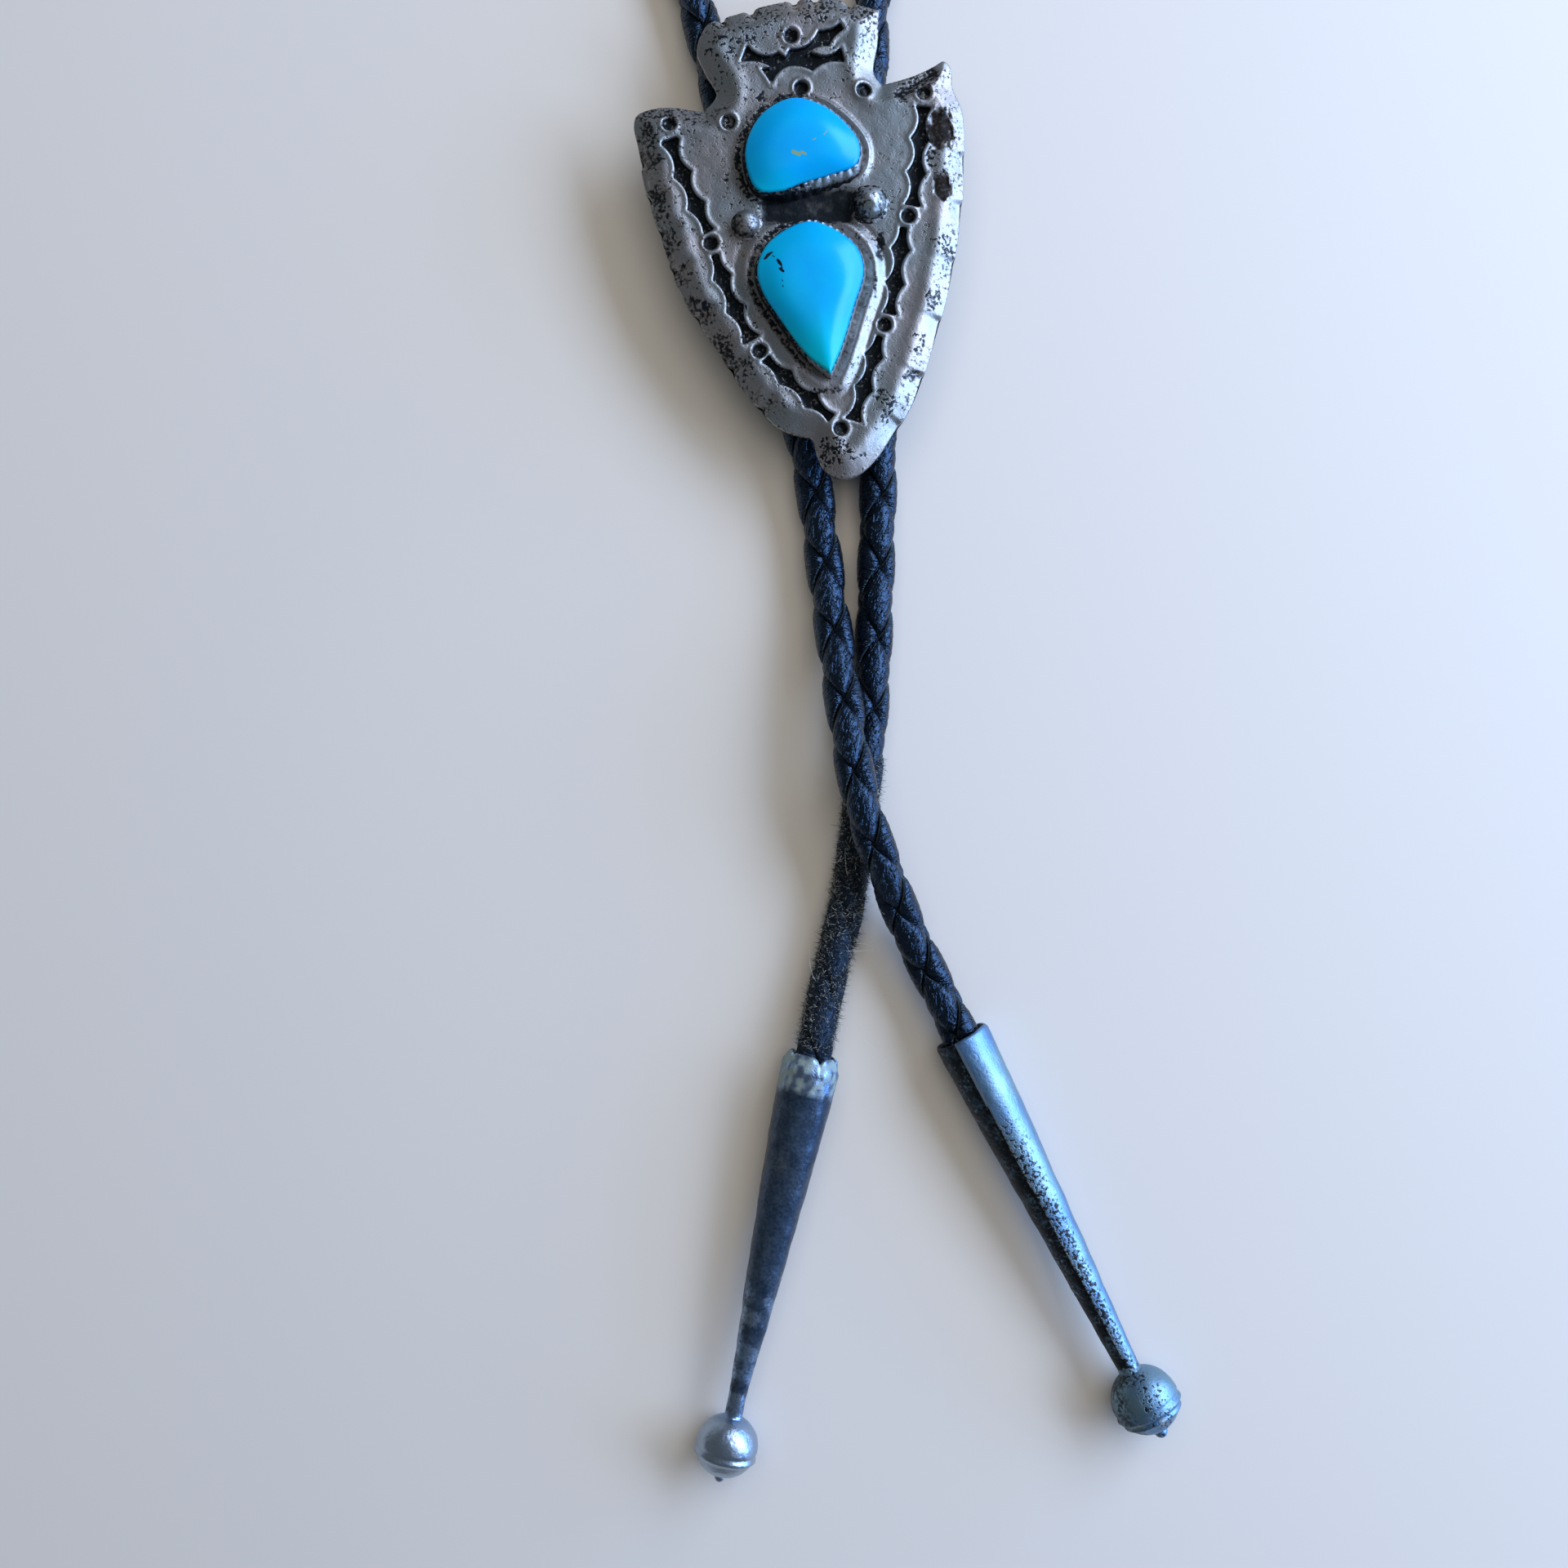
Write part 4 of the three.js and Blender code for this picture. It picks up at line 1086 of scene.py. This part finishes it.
black = np.maximum(black, 0.95 * in_channel)
black = np.maximum(black, 0.85 * between)
speckle = speckle * (1 - between)
in_dot = np.zeros(len(spot))
for dot_x, dot_y in DOTS:
    in_dot = np.maximum(in_dot, 1 - smooth_step(np.hypot(x - dot_x, y - dot_y), 0.75, 1.0))
black = np.maximum(black, 0.8 * in_dot)
# Painted shadow: a dark band just outside the left side of each stone's setting, where its shadow falls away
# from the light.
for to_stone, side in ((to_upper, smooth_step(-x, -3, 2)), (to_lower, smooth_step(-x, -3, 1))):
    black = np.maximum(black, 0.75 * bump_at(to_stone, 0.9, 0.45) * side)
crust = np.zeros(len(spot))
for pit in PITS:
    crust = np.maximum(crust, pit_mark(pit, 0.9 * ragged, 0.7))
black = np.maximum(black, 0.6 * crust)
black = np.where(z < PLATE_BACK + 0.9, 0.45, black)
scar = scar_mark(1.0, -0.6)
black = np.maximum(black, 0.8 * scar)
speckle = np.maximum(speckle, 0.35 * scar)
pale = 0.35 * bump_at(channel, 0.28, 0.22) * (z > FIELD - 0.2)
pale = np.maximum(pale, 0.5 * bump_at(np.hypot(x - 18.1, y - 21.3), 0, 1.0))
# Darker along the left rim, in patches: patina, and painted shade on the side turned away from the light.
left_rim = smooth_step(edge, 2.8, 0.8) * smooth_step(-x, 2, 8) * smooth_step(y, 18, 15)
black = np.maximum(black, left_rim * (0.4 + 0.75 * rough(spot, 2.6, 33)))
speckle = speckle * (1 - 0.35 * left_rim)
top_strip = smooth_step(y, 24.6, 26.0) * smooth_step(edge, 3.4, 2.0)
speckle = np.maximum(speckle, top_strip * (0.6 + 0.5 * rough(spot, 1.8, 34)))
black = np.maximum(black, top_strip * (0.15 + 0.45 * rough(spot, 2.2, 35)))
set_finish(slide, black, speckle, 0.9 * crust, pale)
slide_silver = silver(
    "oxidised_sterling_silver", "#9da2a1", "#ada5a0", "#071016", "#1c140d", 0.95, 0.5
)
join_frame(slide, slide_silver, "slide_plate")

# ---------------------------------------------------------------- the settings
# A thin strip of fine silver stands round each stone, soldered to the plate. Its upper edge is
# filed into small teeth and rubbed down over the stone.

BEZEL_FOOT = FIELD - 0.15
BEZEL_TOP = FIELD + 1.75
BEZEL_WALL = 0.22
TOOTH_PITCH = 0.95
STONE_GAP = 0.12


def grown(outline, away):
    """An outline moved outwards, point by point. The outlines here run clockwise."""
    ahead = np.roll(outline, -1, axis=0) - np.roll(outline, 1, axis=0)
    ahead /= np.linalg.norm(ahead, axis=1)[:, None]
    return outline + away * np.stack([-ahead[:, 1], ahead[:, 0]], axis=1)


def raise_ring(outline, rows):
    """Starts from a ring on an outline, and raises it row by row: height and outward offset."""
    select_only()
    bpy.ops.mesh.primitive_circle_add(vertices=len(outline), radius=MM)
    made = bpy.context.object
    height, away = rows[0]
    move_to(made, np.column_stack([grown(outline, away), np.full(len(outline), height)]))
    bpy.ops.object.mode_set(mode="EDIT")
    bpy.ops.mesh.select_all(action="SELECT")
    for (low, _), (high, _) in zip(rows[:-1], rows[1:]):
        bpy.ops.mesh.extrude_region_move(TRANSFORM_OT_translate={"value": (0, 0, (high - low) * MM)})
    bpy.ops.object.mode_set(mode="OBJECT")
    return made


def setting(name, outline, skirt):
    """The toothed strip round a stone. Skirt gives how far its foot stands out at each point."""
    rows = [(BEZEL_FOOT + (BEZEL_TOP - BEZEL_FOOT) * k / 8, STONE_GAP) for k in range(9)]
    made = raise_ring(outline, rows)
    made.name = name
    count = len(outline)
    step = np.linalg.norm(np.diff(outline, axis=0, append=outline[:1]), axis=1)
    along = np.concatenate([[0], np.cumsum(step)[:-1]])
    teeth = round(step.sum() / TOOTH_PITCH)
    wave = along / step.sum() * teeth * 2 * math.pi
    tooth = np.abs(((wave / (2 * math.pi)) % 1) * 2 - 1)
    places = places_of(made)
    order = places[:, 2].argsort(kind="stable").reshape(9, count)
    aside = grown(outline, 1.0) - outline
    for k, row in enumerate(order):
        part = k / 8
        row = np.sort(row)
        lean = -0.2 * part**3 + 0.05 * np.sin(wave) * part
        out = STONE_GAP + lean + skirt * (1 - part) + 0.1 * skirt * np.sin(wave * 0.7)
        places[row, :2] = outline + aside * out[:, None]
        places[row, 2] -= 0.42 * (1 - tooth) * part**4
    move_to(made, places)
    modify(made, "SOLIDIFY", thickness=BEZEL_WALL * MM, offset=1.0)
    bpy.ops.object.shade_smooth_by_angle(angle=math.radians(50))
    places = places_of(made)
    # Painted shade and painted highlight: the setting is darkened on its left side, away from the light, and
    # paler on its right side near the stone; it is also darker lower down its wall and on its skirt.
    shaded = smooth_step(-places[:, 0], -3.5, 2.0)
    black = 0.05 + 0.7 * shaded + 0.45 * smooth_step(BEZEL_TOP - places[:, 2], 0.5, 1.3)
    foot = distance(places, outline, 3.0)
    black += 0.6 * smooth_step(foot, 0.75, 1.1)
    set_finish(made, black, 0.3, 0, 0.6 * (1 - shaded) * smooth_step(0.9 - foot, 0, 0.3))
    join_frame(made, slide_silver)


upper_skirt = 0.95 * smooth_step(-upper_outline[:, 1], -9.2, -7.4)
upper_skirt *= smooth_step(upper_outline[:, 0], -5.0, 0.5) * smooth_step(7.6 - upper_outline[:, 0], 0.0, 1.0)
setting("upper_setting", upper_outline, upper_skirt)
setting("lower_setting", lower_outline, np.zeros(len(lower_outline)))

# ---------------------------------------------------------------- the stones
# Two cabochons of clear blue turquoise, ground to a low dome with a rounded shoulder and
# polished. The lower one has threads of black matrix, the upper one a small greenish fleck.

STONE_BASE = FIELD + 0.5
GIRDLE = FIELD + 1.7
CROWN = FIELD + 3.55
DOME_ROWS = 44
DOME_SMOOTHING = 220


def cabochon(name, outline, marks):
    """A stone: a filled ring raised straight to the girdle, then drawn in row by row to a dome."""
    select_only()
    bpy.ops.mesh.primitive_circle_add(vertices=len(outline), radius=MM, fill_type="NGON")
    made = bpy.context.object
    made.name = name
    move_to(made, np.column_stack([outline, np.full(len(outline), STONE_BASE)]))
    centre = outline.mean(axis=0)
    bpy.ops.object.mode_set(mode="EDIT")
    bpy.ops.mesh.select_all(action="SELECT")
    height = STONE_BASE
    size = 1.0
    rows = [(1.0, GIRDLE)]
    for k in range(1, DOME_ROWS):
        part = 1 - k / DOME_ROWS
        rows.append((part, GIRDLE + (CROWN - GIRDLE) * (1 - part**2.7) ** 0.62))
    for next_size, next_height in rows:
        bpy.ops.mesh.extrude_region_move(
            TRANSFORM_OT_translate={"value": (0, 0, (next_height - height) * MM)}
        )
        ratio = next_size / size
        bpy.ops.transform.resize(
            value=(ratio, ratio, 1),
            center_override=(centre[0] * MM, centre[1] * MM, next_height * MM),
        )
        height = next_height
        size = next_size
    bpy.ops.mesh.poke()
    bpy.ops.mesh.select_all(action="SELECT")
    bpy.ops.mesh.normals_make_consistent(inside=False)
    bpy.ops.mesh.faces_shade_smooth()
    bpy.ops.mesh.select_all(action="DESELECT")
    bpy.ops.object.mode_set(mode="OBJECT")
    for point in made.data.vertices:
        point.select = point.co.z > (GIRDLE + 0.35) * MM
    bpy.ops.object.mode_set(mode="EDIT")
    bpy.ops.mesh.vertices_smooth(factor=0.5, repeat=DOME_SMOOTHING)
    bpy.ops.object.mode_set(mode="OBJECT")
    places = places_of(made)
    places[:, 2] += 0.05 * rough(places, 4.0, 41) * (places[:, 2] > GIRDLE)
    move_to(made, places)
    x, y = places[:, 0], places[:, 1]
    matrix = np.zeros(len(places))
    ragged = rough(places, 0.5, 42)
    for ax, ay, bx, by, wide in marks:
        run = np.array([bx - ax, by - ay])
        part = np.clip(((x - ax) * run[0] + (y - ay) * run[1]) / max(run @ run, 1e-9), 0, 1)
        away = np.hypot(x - ax - part * run[0], y - ay - part * run[1])
        matrix = np.maximum(matrix, 1 - smooth_step(away + 0.06 * ragged, 0.4 * wide, 1.1 * wide))
    layer = made.data.attributes.new("matrix", "FLOAT", "POINT")
    layer.data.foreach_set("value", matrix * (places[:, 2] > GIRDLE))
    return made


# Turquoise, ground and polished on a wheel: an even, strong sky blue with a wax-smooth gloss,
# a breath of green towards the edges, and matrix as dark as rust.
STONE_CLOUD = 6
POLISH_GRAIN = 0.5
STONE_GREEN = "#00b2c4"
STONE_GLOSS = "#a8ecff"


def turquoise(name, body, rim, greener_from, greener_to, matrix_colour):
    made, tree, shader = blank_material(name)
    place = node(tree, "TexCoord").outputs["Object"]
    cloud = node(tree, "TexNoise", {"Vector": place, "Scale": 1 / (STONE_CLOUD * MM), "Detail": 3.0})
    fine = node(tree, "TexNoise", {"Vector": place, "Scale": 1 / (POLISH_GRAIN * MM), "Detail": 3.0})
    colour = node(tree, "ValToRGB", {"Fac": cloud}, [(0.32, body), (0.72, rim)])
    height = node(tree, "SeparateXYZ", {"Vector": place}).outputs["Y"]
    reach = {"Value": height, "From Min": greener_from * MM, "From Max": greener_to * MM}
    greener = node(tree, "MapRange", reach, interpolation_type="SMOOTHSTEP")
    thread = node(tree, "Attribute", attribute_name="matrix").outputs["Fac"]
    matrix = node(tree, "MapRange", {"Value": thread, "From Min": 0.3, "From Max": 0.75})
    for share, over in ((greener, STONE_GREEN), (matrix, matrix_colour)):
        laid = {"Factor": share, "A": colour, "B": linear(over)}
        colour = node(tree, "Mix", laid, data_type="RGBA")
    gloss = node(tree, "MapRange", {"Value": fine, "To Min": 0.2, "To Max": 0.3})
    bump = node(tree, "Bump", {"Height": cloud, "Strength": 0.15, "Distance": 0.1 * MM})
    feed(tree, shader, {"Base Color": colour, "Roughness": gloss, "Normal": bump, "IOR": 1.61})
    feed(tree, shader, {"Specular IOR Level": 0.35, "Specular Tint": linear(STONE_GLOSS)})
    return made


upper_cabochon = cabochon(
    "upper_cabochon",
    upper_outline,
    [
        (-0.9, 9.2, -0.2, 8.9, 0.3),
        (0.1, 9.2, 0.6, 9.0, 0.2),
        (1.6, 10.7, 1.9, 10.9, 0.08),
        (2.9, 11.4, 3.3, 11.9, 0.1),
    ],
)
lower_cabochon = cabochon(
    "lower_cabochon",
    lower_outline,
    [
        (-4.4, -3.6, -3.9, -3.1, 0.26),
        (-3.9, -3.1, -3.5, -2.9, 0.2),
        (-3.5, -3.3, -2.9, -3.9, 0.09),
        (-2.85, -3.95, -2.5, -4.5, 0.26),
        (-2.4, -4.6, -2.3, -5.0, 0.1),
        (-2.5, -5.1, -2.15, -5.45, 0.24),
        (-2.2, -6.4, -2.2, -6.65, 0.07),
        (-2.2, -7.2, -2.2, -7.35, 0.06),
    ],
)
upper_turquoise = turquoise("upper_turquoise", "#0094d8", "#00a2d6", 7.5, 3.0, "#7f9468")
lower_turquoise = turquoise("lower_turquoise", "#0096d8", "#00a6d2", -7.0, -19.0, "#121519")
join_frame(upper_cabochon, upper_turquoise, "upper_stone")
join_frame(lower_cabochon, lower_turquoise, "lower_stone")

# ---------------------------------------------------------------- the drops
# Two balls of melted silver soldered beside the settings, each in a small collar of solder. The
# left one is polished by wear and the right one is knocked about.

DROPS = [
    {"name": "left_drop", "x": -6.7, "y": 1.2, "radius": 1.6, "dents": 0.03, "black": 0.35},
    {"name": "right_drop", "x": 8.6, "y": 3.8, "radius": 2.0, "dents": 0.16, "black": 0.45},
]
DROP_MIDDLE = 0.5

for drop in DROPS:
    r = drop["radius"]
    profile = [(r * math.sin(a), -r * math.cos(a)) for a in np.linspace(math.pi, math.pi * 0.42, 30)]
    foot = -DROP_MIDDLE - 0.1
    profile += [(r * 1.0, -0.2), (r * 1.03, -0.32), (r * 1.1, -0.36), (r * 1.2, -0.42), (r * 1.27, foot)]
    made = turned(drop["name"], profile, 64)
    spot = places_of(made)
    spot += spot * (drop["dents"] * rough(spot, 0.9, 51) / r)[:, None]
    # Darker towards the foot of each ball; darker on its left side as painted shade, away from the light;
    # and a painted highlight up and to the right of its top.
    black = drop["black"] * smooth_step(spot[:, 2], 1.25 * r, 0.1)
    black += 0.35 * smooth_step(-spot[:, 0], -0.5, 1.5)
    to_highlight_spot = np.hypot(spot[:, 0] - 0.35 * r, spot[:, 1] - 0.35 * r)
    set_finish(made, black, 0.35, 0, 0.6 * bump_at(to_highlight_spot, 0, 0.6 * r))
    spot += (drop["x"], drop["y"], FIELD + DROP_MIDDLE)
    move_to(made, spot)
    join_frame(made, slide_silver)

# ---------------------------------------------------------------- floor and light
# A wide pale table, a window on the right with cooler light low beside it, and a warm soft light
# overhead that isn't mirrored in the stones and the silver.
FLOOR_SIZE = 3.0
bpy.ops.mesh.primitive_plane_add(size=FLOOR_SIZE, location=(0, 0, -0.00003))
floor = bpy.context.object
floor.name = "floor"
floor_look, floor_tree, floor_shader = blank_material("pale_floor")
feed(floor_tree, floor_shader, {"Base Color": linear("#d0cec9"), "Roughness": 0.7})
floor.data.materials.append(floor_look)


def soft_box(name, place, aim, wide, high, power, colour, mirrored=True):
    """A flat rectangular light above the table, turned towards the point that it lights."""
    bpy.ops.object.light_add(type="AREA", location=place)
    lamp = bpy.context.object
    lamp.name = name
    lamp.data.shape = "RECTANGLE"
    lamp.data.size = wide
    lamp.data.size_y = high
    lamp.data.energy = power
    lamp.data.color = linear(colour)[:3]
    lamp.visible_glossy = mirrored
    lamp.rotation_euler = (Vector(aim) - Vector(place)).to_track_quat("-Z", "Y").to_euler()


soft_box("window", (0.42, 0.12, 0.34), (0, -0.05, 0), 0.75, 0.22, 4.6, "#cfe0ff")
soft_box("low_window", (0.62, -0.02, 0.15), (0, -0.05, 0), 0.8, 0.2, 4.6, "#8dbcff")
soft_box("overhead", (0.05, 0.25, 0.85), (0, 0, 0), 0.9, 0.9, 4.2, "#fff3e4", mirrored=False)
sky = bpy.data.worlds.new("sky")
sky.use_nodes = True
background = sky.node_tree.nodes["Background"]
feed(sky.node_tree, background, {"Color": linear("#d9e3ee"), "Strength": 0.17})
scene.world = sky
